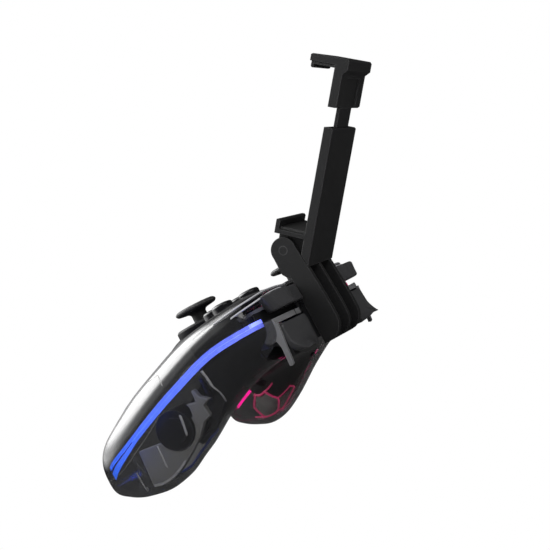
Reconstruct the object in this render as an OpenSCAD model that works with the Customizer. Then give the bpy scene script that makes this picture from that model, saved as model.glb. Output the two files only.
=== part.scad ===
// Mobile game controller: clear handled pad with lit handles and a folding spring clip for a telephone.
// Built in the pad's own frame (x to the player's right, y forwards, z out of the face), then laid at rest.

/* [Pad] */
// overall width of the pad over both handles
pad_width = 152; // [146:1:160]
// stretch of the pad from front to handle tips
pad_depth = 104; // [100:1:110]
// wall of the clear shells
wall = 2.2; // [1.8:0.1:2.6]

/* [Sticks] */
// diameter of the thumb stick cap
cap_d = 20.4; // [18:0.2:21]
// largest tilt of a stick
stick_tilt = 14; // [8:1:14]

/* [Buttons] */
// diameter of an action button
act_d = 9.6; // [8:0.2:10]
// distance from the cluster's centre to an action button
act_pitch = 9.4; // [9:0.1:10]
// press travel of the face buttons
press = 1.0; // [0.6:0.1:1.2]
// gap round a pressed button
gap = 0.4; // [0.3:0.05:0.5]

/* [Clip] */
// width of the telephone that the clip is open for
phone_w = 71; // [66:1:80]
// width of the clip's stem
clip_w = 33; // [30:1:36]
// lean of the open clip above the pad's face
clip_lean = 50; // [45:1:60]

/* [Hidden] */
kx = pad_width / 152;
ky = pad_depth / 104;
e = 0.01;
// plan outline, stations from the middle of the front round to the handle tip
ox = kx * [0, 20, 40, 56, 66.5, 71.5, 74.5, 76, 75.2, 73, 69.5];
oy = ky * [36.6, 36.9, 39.3, 37.5, 28, 12, -6, -24, -41, -52.5, -59.4];
// inner outline, from the middle of the back round between the handles to the tip
ix = kx * [0, 13, 23, 29.5, 34, 38.2, 42.4, 47.4, 53.6, 58, 61.7];
iy = ky * [-24, -24, -25, -28, -32.8, -37.3, -41.9, -46.2, -51, -56.8, -61.8];
// height of the seam on both outlines, and the swell above and below it
zo = [-12.8, -12.8, -12.8, -12.8, -13, -14.5, -20, -27, -33.6, -37.6, -40.6];
zi = [-13, -13, -14, -17, -21, -25.1, -29.4, -33.2, -37.1, -41, -43.3];
ht = [12.9, 12.9, 13.2, 14.2, 13.9, 13.6, 13.6, 14, 12.7, 11, 10.3];
hb = [17.2, 17.6, 19.2, 21, 23.6, 26.8, 28.6, 26.8, 20, 13, 10.6];
// how far the underside leans to the inner outline
kb = [0.2, 0.25, 0.4, 0.75, 0.97, 0.65, 0.3, -0.12, -0.3, -0.42, -0.42];
pt = [7, 7, 7, 5, 4, 3.2, 2.8, 2.5, 2.4, 2.4, 2.4];
pb = [5, 5, 4.5, 3.8, 3.2, 2.6, 2.4, 2.3, 2.3, 2.3, 2.3];
half_n = 19;
across = 15;
seam = 0.1;
rest_tilt = 18.18;

function cr(v, s) = let(n = len(v) - 1, u = min(max(s, 0), 0.99999) * n, i = floor(u), f = u - i,
    p0 = i == 0 ? v[0] : v[i - 1], p1 = v[i], p2 = v[i + 1], p3 = v[min(i + 2, n)])
  p1 + 0.5 * f * (p2 - p0 + f * (2 * p0 - 5 * p1 + 4 * p2 - p3 + f * (3 * (p1 - p2) + p3 - p0)));
function bulge(a, p) = pow(max(1 - pow(abs(2 * a - 1), p), 0), 1 / p);
function station(u) = 0.9995 * (1 - pow(1 - u, 1.45));
// rounds off the handle tip
function tip(s) = s < 0.85 ? 1 : sqrt(max(1 - pow((s - 0.85) / 0.15, 2), 0.004));
// a point of the skin: s along the pad, a across it, up is 1 for the face and -1 for the back, in is the inset
function skin(s, a, up, in = 0, c = 1) = let(
    o = [cr(ox, s), cr(oy, s)], i = [cr(ix, s), cr(iy, s)], l = norm(i - o) / 2, d = (i - o) / (2 * l),
    w = (l - in) * c, p = (o + i) / 2 + d * w * (2 * a - 1), b = 0.5 + (a - 0.5) * c,
    h = up > 0 ? cr(ht, s) : cr(hb, s) * (1 + cr(kb, s) * (a - 0.5)), k = up > 0 ? cr(pt, s) : cr(pb, s),
    z = cr(zo, s) + (cr(zi, s) - cr(zo, s)) * b)
  [p[0], p[1], z + up * (h - in) * c * bulge(a, k) + (up > 0 ? seam : 0)];
function spread(j) = 0.5 - 0.5 * cos(180 * j / (across - 1));
function flip(p, g) = [g * p[0], p[1], p[2]];
function row(i, up, in) = let(g = i < 0 ? -1 : 1, u = station(abs(i) / half_n), s = u * (in > 0 ? 0.965 : 1))
  [for (j = [0:across - 1]) flip(skin(s, spread(j), up, in, tip(u)), g)];

// a skin of two layers, closed along both rims and at both tips
module shell(up) {
  n = 2 * half_n + 1;
  m = across;
  pts = concat([for (i = [-half_n:half_n]) each row(i, up, 0)],
    [for (i = [-half_n:half_n]) each row(i, up, wall)]);
  t = n * m;
  q = concat(
    [for (i = [0:n - 2]) for (j = [0:m - 2]) [i * m + j, i * m + j + 1, (i + 1) * m + j + 1, (i + 1) * m + j]],
    [for (i = [0:n - 2]) for (j = [0:m - 2])
      [t + i * m + j, t + (i + 1) * m + j, t + (i + 1) * m + j + 1, t + i * m + j + 1]],
    [for (i = [0:n - 2]) [i * m, (i + 1) * m, t + (i + 1) * m, t + i * m]],
    [for (i = [0:n - 2]) [i * m + m - 1, t + i * m + m - 1, t + (i + 1) * m + m - 1, (i + 1) * m + m - 1]],
    [for (j = [0:m - 2]) [j, t + j, t + j + 1, j + 1]],
    [for (j = [0:m - 2]) [(n - 1) * m + j, (n - 1) * m + j + 1, t + (n - 1) * m + j + 1, t + (n - 1) * m + j]]);
  tri = [for (f = q) each [[f[0], f[1], f[2]], [f[0], f[2], f[3]]]];
  polyhedron(points = pts, faces = [for (f = tri) up > 0 ? [f[2], f[1], f[0]] : f]);
}
// places of the controls on the face
stick_r = [19 * kx, -9 * ky];
stick_l = [-40 * kx, 17 * ky];
dpad_at = [-19 * kx, -9 * ky];
act_at = [40 * kx, 17 * ky];
menu_at = [12 * kx, 16 * ky];
home_at = [0, 6 * ky];
stick_z = -9;
dpad_z = -7.5;
collar_in = 9.8;
collar_out = 13;
dome_r = collar_in + 1.7;
dpad_r = 11;
ball_r = 3.6;
ring_in = 4.05;
ring_out = 6;
trunnion_r = 1.2;
pin_r = 1;
run = 0.06;
post_in = 7;
post_out = 9.3;
board_z = -18;
board_t = 1.6;
module_top = -13;
// shoulder: seat of the clip, windows, trigger axle
seat_y = 37.3 * ky;
front_y = 39.3 * ky;
bumper_top = -3.7;
bumper_bot = -12.4;
strip_top = -13.3;
strip_bot = -15.6;
win_x = 56.5 * kx;
trig_y = 32 * ky;
trig_z = -19.5;
trig_in = 29 * kx;
trig_out = 53.5 * kx;
axle_r = 1.22;
bump_pin = [21.5 * kx, 36 * ky];
// motors, and the side view of the bracket that seats each of them on the floor of its handle
motor_at = [58 * kx, -21 * ky, -35.5];
motor_r = 8.6;
motor_l = 15;
bracket = [[-0.6, -30.2], [-4.4, -31.5], [-3.8, -36.5], [-7.7, -37.8], [-12.5, -42.5], [-16, -44.9],
  [-20, -47.4], [-24, -49.8], [-28, -51.8], [-32, -53.3], [-36, -53.9], [-40, -53.8], [-43, -52.6],
  [-42, -36.5], [-30.2, -37.6], [-11, -33.6], [-10.7, -29.6], [-11.6, -28], [-6.8, -29], [-6.6, -24],
  [-5.4, -24], [-4.2, -27.8]];
// clip: hinge axis in the pad frame, its place in the clip's frame
hinge = [seat_y + 2.6, 12.1];
ear_r = 5.8;
hinge_b = 1.4;
hinge_p = -10.4;
pivot_r = 1.6;
cheek_in = clip_w / 2 - 3.5;
cheek_out = clip_w / 2 - 0.5;
plate_f = 10;
plate_b = 14.2;
tongue_w = 16;
house_top = 46;
pad_t = 1.4;

function under(s, a) = skin(s, a, -1);

module place() {
  translate([0, -25.21, 43.62])
    rotate([-rest_tilt, 0, 0])
      children();
}
module mirrored() {
  mirror([1, 0, 0])
    children();
}
module at(p, z = 0) {
  translate([p[0], p[1], z])
    children();
}
// draws a side view (y, z) from x0 to x1
module side(x0, x1) {
  translate([x0, 0, 0])
    rotate([90, 0, 90])
      linear_extrude(x1 - x0)
        children();
}
module block(x, y, z) {
  translate([x[0], y[0], z[0]])
    cube([x[1] - x[0], y[1] - y[0], z[1] - z[0]]);
}
module clip_frame() {
  translate([0, hinge[0], hinge[1]])
    rotate([clip_lean - 90, 0, 0])
      translate([0, -hinge_b, -hinge_p])
        children();
}

// bosses on the floor, as places along and across the pad
boss_at = [for (q = [[0.27, 0.47], [0.225, 0.9]]) let(p = skin(q[0], q[1], -1)) [p[0], p[1], q[0], q[1]]];

// Clear front half: face with collar, pad and button holes, and the bumper window in its front wall
module front_shell() {
  color([0.25, 0.26, 0.3, 0.5])
    place()
      difference() {
        shell(1);
        for (p = [stick_r, stick_l])
          at(p, -12)
            cylinder(r = collar_out + 0.05, h = 20, $fn = 64);
        at(dpad_at, -12)
          cylinder(r = dpad_r + 1.1, h = 20, $fn = 64);
        for (k = [0:3])
          at(act_at + act_pitch * [cos(90 * k), sin(90 * k)], -12)
            cylinder(r = act_d / 2 + gap, h = 20, $fn = 40);
        for (g = [-1, 1])
          at([g * menu_at[0], menu_at[1]], -12)
            cylinder(r = 2.6 + gap, h = 20, $fn = 32);
        at(home_at, -12)
          cylinder(r = 4.4 + gap, h = 20, $fn = 40);
        block([-66 * kx, 66 * kx], [30.6 * ky, 60], [-20, -3.3]);
      }
}
// Clear rear half: trigger windows, screw bosses and the charging slot
module rear_shell() {
  color([0.2, 0.21, 0.25, 0.5])
    place()
      difference() {
        union() {
          shell(-1);
          for (g = [-1, 1])
            for (b = boss_at)
              translate([g * b[0], b[1], under(b[2], b[3])[2] + 1])
                cylinder(r = 3, h = board_z - board_t - under(b[2], b[3])[2] - 1, $fn = 32);
        }
        block([-win_x, win_x], [27 * ky, 60], [-40, -5]);
        block([-4.9, 4.9], [-40, -19.5 * ky], [-18.3, -14.2]);
        for (g = [-1, 1])
          for (b = boss_at)
            translate([g * b[0], b[1], -60]) {
              cylinder(r = 1.2, h = 60 + board_z, $fn = 24);
              cylinder(r = 2.7, h = 60 + under(b[2], b[3])[2] + 2.6, $fn = 32);
            }
      }
}
// Grey frame across the front: carries the clip, the bumper pins and the trigger axles
module shoulder_frame() {
  half = [[win_x - 0.5, 29.6 * ky], [win_x - 0.5, 37.6 * ky], [44 * kx, front_y + 0.8], [26 * kx, 39 * ky],
    [17.6, seat_y]];
  color([0.62, 0.63, 0.66])
    place() {
      difference() {
        union() {
          translate([0, 0, strip_bot])
            linear_extrude(strip_top - strip_bot)
              polygon(concat(half, [for (i = [4:-1:0]) [-half[i][0], half[i][1]]]));
          block([-17.4, 17.4], [29.4 * ky, seat_y], [strip_bot + 0.5, -3.9]);
          block([-26 * kx, 26 * kx], [28 * ky, seat_y], [-28.6, strip_top - 0.5]);
        }
        for (g = [-1, 1])
          for (z = [-9, -23])
            translate([g * 9, seat_y - 6, z])
              rotate([-90, 0, 0])
                cylinder(r = 1.1, h = 8, $fn = 24);
      }
      for (g = [-1, 1])
        scale([g, 1, 1]) {
          side(25.9 * kx, 25.9 * kx + 1.9)
            polygon([[28.6 * ky, strip_bot + 0.5], [35.4 * ky, strip_bot + 0.5], [34.6 * ky, trig_z - 2],
              [32 * ky, trig_z - 3], [29.4 * ky, trig_z - 2]]);
          // outer cheek, which runs down beside the trigger as a guard
          side(54.2 * kx, 54.2 * kx + 1.8)
            polygon([[29.6 * ky, strip_bot + 0.5], [38.6 * ky, strip_bot + 0.5], [38.4 * ky, strip_bot - 2],
              [36.8 * ky, -33.2], [36 * ky, -33.8], [35 * ky, -33.4], [35.4 * ky, -25],
              [34.6 * ky, trig_z - 2.6], [32 * ky, trig_z - 3], [30 * ky, trig_z - 2]]);
          translate([27 * kx, trig_y, trig_z])
            rotate([0, 90, 0])
              cylinder(r = axle_r, h = 28 * kx, $fn = 24);
          at(bump_pin, strip_top - 0.5)
            cylinder(r = axle_r, h = 6.4, $fn = 24);
        }
    }
}
// Light guide along the seam of a handle, just inside the wall
module light_guide() {
  n = 22;
  sec = [[0.9, -2.4], [2.6, -2.4], [2.6, 2.4], [0.9, 2.4]];
  pts = [for (i = [0:n]) let(s = 0.33 + 0.53 * i / n, o = skin(s, 0, -1, wall, tip(s / 0.965)),
      q = [cr(ix, s) - cr(ox, s), cr(iy, s) - cr(oy, s)], d = q / norm(q))
    each [for (c = sec) [o[0] + d[0] * c[0], o[1] + d[1] * c[0], o[2] + c[1]]]];
  faces = concat([[0, 1, 2], [0, 2, 3]], [[4 * n, 4 * n + 2, 4 * n + 1], [4 * n, 4 * n + 3, 4 * n + 2]],
    [for (i = [0:n - 1]) for (j = [0:3]) let(a = 4 * i + j, b = 4 * i + (j + 1) % 4)
      each [[a, a + 4, b + 4], [a, b + 4, b]]]);
  polyhedron(points = pts, faces = faces);
}
module light_right() {
  color([0.25, 0.35, 1])
    place()
      light_guide();
}
module light_left() {
  color([1, 0.1, 0.6])
    place()
      mirrored()
        light_guide();
}
// Main board, cut to the pad's plan
module circuit_board() {
  color([0.05, 0.3, 0.15])
    place()
      translate([0, 0, board_z - board_t])
        linear_extrude(board_t)
          polygon([for (g = [1, -1]) each let(h = [[16, -17.6], [27.5, -15.5], [44, -6], [52, 8], [51, 20],
            [44, 25.5], [0, 25.5]])
              [for (i = [0:6]) let(p = g > 0 ? h[i] : h[6 - i]) [g * p[0] * kx, p[1] * ky]]]);
}
module battery() {
  color([0.5, 0.52, 0.55])
    place()
      translate([0, 3 * ky, board_z - board_t - 7])
        linear_extrude(6.6)
          polygon([for (g = [[1, 1], [-1, 1], [-1, -1], [1, -1]]) each
            [for (t = [0:30:90]) let(c = atan2(g[1], g[0]) - 45 + t)
              [g[0] * 27 + 2 * cos(c), g[1] * 15 + 2 * sin(c)]]]);
}
// Rumble motor lying across the handle, with its half-round weight
module motor() {
  translate(motor_at)
    rotate([0, 90, 0]) {
      translate([0, 0, -motor_l / 2])
        cylinder(r = motor_r, h = motor_l, $fn = 48);
      translate([0, 0, motor_l / 2 - e])
        cylinder(r = motor_r - 3, h = 1.2, $fn = 32);
      translate([0, 0, -motor_l / 2 - 1])
        cylinder(r = 3, h = 1 + e, $fn = 32);
      translate([0, 0, -motor_l / 2 - 5.4])
        cylinder(r = 0.95, h = 5, $fn = 24);
    }
}
module weight() {
  translate([motor_at[0] - motor_l / 2 - 1.5, motor_at[1], motor_at[2]])
    rotate([0, -90, 0])
      difference() {
        union() {
          intersection() {
            cylinder(r = 7.6, h = 4.6, $fn = 48);
            translate([-10, -10, 0])
              cube([10, 20, 5]);
          }
          cylinder(r = 2.4, h = 4.6, $fn = 32);
        }
        translate([0, 0, -1])
          cylinder(r = 1, h = 8, $fn = 24);
      }
}
module motor_right() {
  color([0.1, 0.1, 0.11])
    place()
      motor();
}
module motor_left() {
  color([0.1, 0.1, 0.11])
    place()
      mirrored()
        motor();
}
module weight_right() {
  color([0.7, 0.7, 0.72])
    place()
      weight();
}
module weight_left() {
  color([0.7, 0.7, 0.72])
    place()
      mirrored()
        weight();
}
// Grey brackets that hold the motors off the floor of the handles
module cradles() {
  color([0.45, 0.46, 0.48])
    place()
      for (g = [-1, 1])
        scale([g, 1, 1])
          difference() {
            side(motor_at[0] + 3, motor_at[0] + 6)
              polygon([for (q = bracket) [q[0] * ky, q[1]]]);
            translate(motor_at)
              rotate([0, 90, 0])
                cylinder(r = motor_r + 0.3, h = 40, center = true, $fn = 48);
          }
}
module stick_collars() {
  color([0.07, 0.07, 0.08])
    place()
      for (p = [stick_r, stick_l])
        at(p)
          rotate_extrude($fn = 64)
            polygon([[collar_in, -2.2], [collar_out, -2.2], [collar_out, 1.1], [collar_out - 0.9, 2],
              [collar_in + 0.7, 2], [collar_in, 1.2]]);
}
// Box on the board with two posts that carry a gimbal ring
module gimbal_base(z) {
  block([-8, 8], [-8, 8], [board_z, module_top]);
  for (g = [-1, 1])
    difference() {
      scale([g, 1, 1])
        block([post_in, post_out], [-2.2, 2.2], [module_top - 1, z + 2.2]);
      translate([g * 8, 0, z])
        rotate([0, 90, 0])
          cylinder(r = trunnion_r + run, h = 6, center = true, $fn = 24);
    }
}
module gimbal_ring() {
  difference() {
    union() {
      rotate_extrude($fn = 48)
        translate([ring_in, -1.5])
          square([ring_out - ring_in, 3]);
      for (g = [-1, 1])
        rotate([0, 90 * g, 0])
          translate([0, 0, ring_out - 0.6])
            cylinder(r = trunnion_r, h = post_out - ring_out + 0.6, $fn = 24);
    }
    rotate([90, 0, 0])
      cylinder(r = pin_r + run, h = 2 * ring_out + 2, center = true, $fn = 24);
  }
}
module gimbal_ball() {
  sphere(r = ball_r, $fn = 32);
  rotate([90, 0, 0])
    cylinder(r = pin_r, h = 2 * ring_out - 0.6, center = true, $fn = 24);
}
module stick_modules() {
  color([0.12, 0.12, 0.13])
    place()
      for (p = [stick_r, stick_l])
        at(p)
          gimbal_base(stick_z);
}
module dpad_base() {
  color([0.12, 0.12, 0.13])
    place()
      at(dpad_at)
        gimbal_base(dpad_z);
}
module ring_right() {
  color([0.75, 0.75, 0.78])
    place()
      at(stick_r, stick_z)
        gimbal_ring();
}
module ring_left() {
  color([0.75, 0.75, 0.78])
    place()
      at(stick_l, stick_z)
        gimbal_ring();
}
module dpad_pivot() {
  color([0.75, 0.75, 0.78])
    place()
      at(dpad_at, dpad_z)
        gimbal_ring();
}
// Thumb stick: dished cap, neck, dust dome and the ball that the gimbal ring carries
module stick() {
  r = cap_d / 2;
  translate([0, 0, stick_z])
    gimbal_ball();
  translate([0, 0, stick_z])
    cylinder(r = 2.6, h = 10, $fn = 32);
  difference() {
    translate([0, 0, stick_z])
      sphere(r = dome_r, $fn = 48);
    translate([0, 0, stick_z])
      sphere(r = dome_r - 1.2, $fn = 48);
    translate([-20, -20, stick_z - 20])
      cube([40, 40, 23]);
  }
  rotate_extrude($fn = 64)
    polygon([[0, 1.2], [3.6, 1.2], [3.6, 4.6], [5, 5.4], [r - 1.2, 6.1], [r, 7.3], [r, 8.7], [r - 0.7, 9.7],
      [r - 1.7, 10], [r - 3, 9.4], [r - 6, 8.8], [0, 8.5]]);
}
module stick_right() {
  color([0.06, 0.06, 0.065])
    place()
      at(stick_r)
        stick();
}
module stick_left() {
  color([0.06, 0.06, 0.065])
    place()
      at(stick_l)
        stick();
}
// Directional pad: cross on a round skirt, rocking on the ball below
module dpad() {
  color([0.06, 0.06, 0.065])
    place()
      at(dpad_at) {
        translate([0, 0, dpad_z])
          gimbal_ball();
        translate([0, 0, dpad_z])
          cylinder(r = 2.6, h = -dpad_z - 1, $fn = 32);
        rotate_extrude($fn = 64)
          polygon([[0, -2.6], [dpad_r, -2.6], [dpad_r, 0.2], [dpad_r - 0.8, 0.7], [0, 0.4]]);
        difference() {
          union() {
            block([-10, 10], [-3.6, 3.6], [0, 3.2]);
            block([-3.6, 3.6], [-10, 10], [0, 3.2]);
          }
          translate([0, 0, 26.4])
            sphere(r = 24, $fn = 64);
        }
      }
}
// Push button with a crowned top and a flange that keeps it under the shell
module key(r, top) {
  rotate_extrude($fn = 40)
    polygon([[0, -4.6], [r + 0.9, -4.6], [r + 0.9, -3.5], [r, -3.5], [r, top - 0.8], [r - 0.35, top - 0.25],
      [r - 1, top], [r / 2, top + 0.25], [0, top + 0.35]]);
}
module action(k) {
  at(act_at + act_pitch * [cos(90 * k), sin(90 * k)])
    key(act_d / 2, 2.6);
}
module button_east() {
  color([0.08, 0.08, 0.09])
    place()
      action(0);
}
module button_north() {
  color([0.08, 0.08, 0.09])
    place()
      action(1);
}
module button_west() {
  color([0.08, 0.08, 0.09])
    place()
      action(2);
}
module button_south() {
  color([0.08, 0.08, 0.09])
    place()
      action(3);
}
module menu_right() {
  color([0.1, 0.1, 0.11])
    place()
      at(menu_at)
        key(2.6, 0.9);
}
module menu_left() {
  color([0.1, 0.1, 0.11])
    place()
      at([-menu_at[0], menu_at[1]])
        key(2.6, 0.9);
}
module home_button() {
  color([0.1, 0.1, 0.11])
    place()
      at(home_at)
        key(4.4, 0.9);
}
// Silicone mats under the buttons, standing on the board
module mat(r) {
  translate([0, 0, -7.6])
    cylinder(r = r, h = 1.4, $fn = 40);
  translate([0, 0, board_z])
    cylinder(r = r * 0.4, h = 10.6, $fn = 40);
}
module button_mats() {
  color([0.3, 0.3, 0.32])
    place() {
      for (k = [0:3])
        at(act_at + act_pitch * [cos(90 * k), sin(90 * k)])
          mat(act_d / 2);
      for (g = [-1, 1])
        at([g * menu_at[0], menu_at[1]])
          mat(3.4);
      at(home_at)
        mat(4.8);
    }
}
// Bumper: bar that wraps the shoulder and swings on the frame's pin near its inner end
module bumper() {
  difference() {
    hull() {
      translate([0, 0, bumper_bot + 0.6])
        linear_extrude(1)
          bumper_plan(0, 1);
      translate([0, 0, -6.6])
        linear_extrude(1.6)
          bumper_plan(0, 0);
      translate([0, 0, bumper_bot])
        linear_extrude(1)
          bumper_plan(0.8, 1);
      translate([0, 0, bumper_top - 1])
        linear_extrude(1)
          bumper_plan(0.8, 0);
    }
    at(bump_pin, bumper_bot - 1)
      cylinder(r = axle_r + run, h = 7.2, $fn = 24);
  }
}
// plan of the bumper, set in by c; low is the plan of its underside, cut back at the outer end
module bumper_plan(c, low) {
  end = low > 0 ? [[53 * kx - c, 33.6 * ky], [59 * kx - c, 38 * ky]]
    : [[61 * kx - c, 33.6 * ky], [63 * kx - c, 34.8 * ky]];
  polygon(concat([[18.4 * kx + c, 33.6 * ky]], end, [[57.5 * kx - c / 2, 39.4 * ky - c],
    [50 * kx, 41.2 * ky - c], [40 * kx, 41.8 * ky - c], [18.4 * kx + c, 40.8 * ky - c]]));
}
module bumper_right() {
  color([0.2, 0.2, 0.22])
    place()
      bumper();
}
module bumper_left() {
  color([0.2, 0.2, 0.22])
    place()
      mirrored()
        bumper();
}
// Trigger: hollow-faced blade on the frame's axle, with rounded lower corners
function bez(a, b, c, t) = a * (1 - t) * (1 - t) + 2 * b * t * (1 - t) + c * t * t;
module trigger() {
  w = trig_out - trig_in;
  difference() {
    union() {
      intersection() {
        side(trig_in, trig_out)
          polygon(concat([for (t = [0:0.125:1]) bez([trig_y + 7.8, strip_bot - 0.7], [trig_y + 4.4, -25.4],
              [trig_y + 10.4, -30.2], t)],
            [[trig_y + 10.2, -31.3], [trig_y + 8.6, -31.6]],
            [for (t = [0:0.2:1]) bez([trig_y + 8.2, -31.4], [trig_y + 2.2, -27.6], [trig_y, trig_z - 2.2], t)],
            [[trig_y, trig_z + 2.2], [trig_y + 3, strip_bot - 0.7]]));
        translate([(trig_in + trig_out) / 2, 80, 0])
          rotate([90, 0, 0])
            linear_extrude(70)
              polygon([[-w / 2 - 1, 0], [-w / 2 - 1, -24], [-w / 2 + 1.4, -29.4], [-w / 2 + 4.6, -31.4],
                [-w / 2 + 8, -32], [w / 2 - 8, -32], [w / 2 - 4.6, -31.4], [w / 2 - 1.4, -29.4],
                [w / 2 + 1, -24], [w / 2 + 1, 0]]);
      }
      translate([trig_in, trig_y, trig_z])
        rotate([0, 90, 0])
          cylinder(r = 3.2, h = w, $fn = 40);
    }
    translate([trig_in - 1, trig_y, trig_z])
      rotate([0, 90, 0])
        cylinder(r = axle_r + run, h = w + 2, $fn = 24);
  }
}
module trigger_right() {
  color([0.16, 0.16, 0.18])
    place()
      trigger();
}
module trigger_left() {
  color([0.16, 0.16, 0.18])
    place()
      mirrored()
        trigger();
}
// Charging socket on the board's back edge
module slot_plan(x, z) {
  polygon([for (g = [-1, 1]) for (t = [-90:30:90]) [g * (x - z + z * cos(t)), g * z * sin(t)]]);
}
module usb_socket() {
  color([0.7, 0.71, 0.73])
    place()
      translate([0, -16.2 * ky, board_z + 1.7])
        rotate([90, 0, 0]) {
          difference() {
            linear_extrude(7.4 * ky)
              slot_plan(4.5, 1.65);
            translate([0, 0, 1.4])
              linear_extrude(9 * ky)
                slot_plan(4.15, 1.3);
          }
          translate([-3.2, -0.35, 1])
            cube([6.4, 0.7, 5.2 * ky]);
        }
}
module case_screws() {
  color([0.55, 0.55, 0.58])
    place()
      for (g = [-1, 1])
        for (b = boss_at)
          translate([g * b[0], b[1], under(b[2], b[3])[2]])
            difference() {
              union() {
                translate([0, 0, 1])
                  cylinder(r = 2.4, h = 1.6, $fn = 32);
                translate([0, 0, 2])
                  cylinder(r = 1.14, h = board_z - board_t - under(b[2], b[3])[2] - 3, $fn = 24);
              }
              translate([0, 0, 0.5])
                linear_extrude(1.2)
                  union() {
                    square([2.8, 0.6], center = true);
                    square([0.6, 2.8], center = true);
                  }
            }
}
// Clip saddle: wall on the frame with two cheeks and a middle rib, ears for the hinge
module cheek_plan() {
  fy = seat_y + 10.6;
  difference() {
    union() {
      polygon(concat([[seat_y, -32.4]], [for (t = [-90:15:0]) [fy - 8 + 8 * cos(t), -24.4 + 8 * sin(t)]],
        [[fy, -19], [fy - 0.6, -8], [fy - 1.3, 1], [hinge[0] + ear_r - 0.1, hinge[1]],
        [hinge[0] - ear_r + 0.1, hinge[1]], [hinge[0] - ear_r + 0.1, 3], [hinge[0] - 4.2, 0.8],
        [seat_y, 0.8]]));
      translate(hinge)
        circle(r = ear_r, $fn = 64);
    }
    translate(hinge)
      circle(r = pivot_r + run, $fn = 40);
  }
}
module saddle() {
  color([0.1, 0.1, 0.105])
    place()
      difference() {
        union() {
          for (g = [-1, 1])
            scale([g, 1, 1])
              side(cheek_in, cheek_out)
                cheek_plan();
          intersection() {
            side(-cheek_in - 1, cheek_in + 1)
              cheek_plan();
            block([-cheek_in - 1, cheek_in + 1], [seat_y, seat_y + 3.6], [-40, 4]);
          }
          intersection() {
            side(-1.3, 1.3)
              cheek_plan();
            block([-2, 2], [seat_y, 70], [-40, 2]);
          }
        }
        for (g = [-1, 1])
          for (z = [-9, -23])
            translate([g * 9, seat_y - 1, z])
              rotate([-90, 0, 0]) {
                cylinder(r = 1.2, h = 9, $fn = 24);
                translate([0, 0, 3])
                  cylinder(r = 2.5, h = 9, $fn = 32);
              }
      }
}
module saddle_screws() {
  color([0.3, 0.3, 0.32])
    place()
      for (g = [-1, 1])
        for (z = [-9, -23])
          translate([g * 9, seat_y, z])
            rotate([-90, 0, 0])
              difference() {
                union() {
                  translate([0, 0, -5.6])
                    cylinder(r = 1.06, h = 8, $fn = 24);
                  translate([0, 0, 2])
                    cylinder(r = 2.2, h = 1.3, $fn = 32);
                }
                translate([0, 0, 2.7])
                  linear_extrude(2)
                    union() {
                      square([2.6, 0.6], center = true);
                      square([0.6, 2.6], center = true);
                    }
              }
}
module hinge_pin() {
  color([0.6, 0.6, 0.62])
    place()
      translate([-cheek_out + 0.3, hinge[0], hinge[1]])
        rotate([0, 90, 0])
          cylinder(r = pivot_r, h = 2 * cheek_out - 0.6, $fn = 40);
}
// Clip stem: flat housing with the lower jaw and the knuckle that turns on the pin
module stem() {
  h = clip_w / 2;
  color([0.1, 0.1, 0.105])
    place()
      difference() {
        clip_frame()
          difference() {
            union() {
              side(-h, h)
                polygon([[plate_f, -3], [plate_f, house_top], [plate_b - 0.6, house_top],
                  [plate_b, house_top - 0.6], [plate_b, -18], [plate_f, -18]]);
              side(-h, h)
                polygon([[-4, -3.4], [plate_b, -3.4], [plate_b, -pad_t], [-2, -pad_t], [-2, 2.2], [-2.6, 2.8],
                  [-4, 2.8]]);
              side(-cheek_in + gap, cheek_in - gap)
                union() {
                  translate([hinge_b, hinge_p])
                    circle(r = 5, $fn = 48);
                  polygon([[hinge_b - 4.2, hinge_p + 2], [hinge_b - 4.2, -3.2], [plate_f + 1, -3.2],
                    [plate_f + 1, -8], [hinge_b + 3, hinge_p - 2]]);
                }
            }
            block([-tongue_w / 2 - 0.3, tongue_w / 2 + 0.3], [plate_f + 1.1, plate_b - 0.9],
              [2, house_top + 1]);
            translate([-h - 1, hinge_b, hinge_p])
              rotate([0, 90, 0])
                cylinder(r = pivot_r + run, h = 2 * h + 2, $fn = 40);
          }
        side(-h - 1, h + 1)
          polygon([[seat_y - 6, -40], [seat_y + 10.9, -40], [seat_y + 10.9, -19], [seat_y + 10.3, -8],
            [seat_y + 9.6, 1], [seat_y + 9.2, hinge[1] - 5.3], [seat_y - 6, hinge[1] - 5.3]]);
      }
}
// Upper jaw: tongue in the housing, back plate and hook over the telephone's edge
module upper_jaw() {
  h = clip_w / 2;
  w = phone_w;
  color([0.1, 0.1, 0.105])
    place()
      clip_frame() {
        block([-tongue_w / 2, tongue_w / 2], [plate_f + 1.4, plate_b - 1.2], [w - 58, w - 10]);
        difference() {
          side(-h, h)
            polygon([[plate_f, w - 16.4], [plate_b - 1, w - 16.4], [plate_b - 0.2, w - 15.6],
              [plate_b - 0.2, w - 2], [plate_b + 1.8, w], [plate_b + 1.8, w + pad_t + 2.4],
              [plate_b + 1, w + pad_t + 3.2], [-0.6, w + pad_t + 3.2], [-1.4, w + pad_t + 2.6],
              [-1.4, w + pad_t], [plate_f, w + pad_t]]);
          block([-h + 7, h - 7], [plate_b - 0.9, plate_b + 1], [w - 20, w - 3.4]);
        }
        side(-11, 11)
          polygon([[-1, w + pad_t + 3.2], [-2.6, w + pad_t + 2.4], [-2.6, w - 1], [-2, w - 1.6],
            [-1, w - 1.2]]);
      }
}
module jaw_pad_upper() {
  h = clip_w / 2;
  color([0.03, 0.03, 0.03])
    place()
      clip_frame()
        block([-h + 0.6, h - 0.6], [-0.9, plate_f - 0.1], [phone_w + 0.1, phone_w + pad_t]);
}
module jaw_pad_lower() {
  h = clip_w / 2;
  color([0.03, 0.03, 0.03])
    place()
      clip_frame()
        block([-h + 0.6, h - 0.6], [-1.9, plate_f - 0.1], [-pad_t, -0.1]);
}
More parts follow.
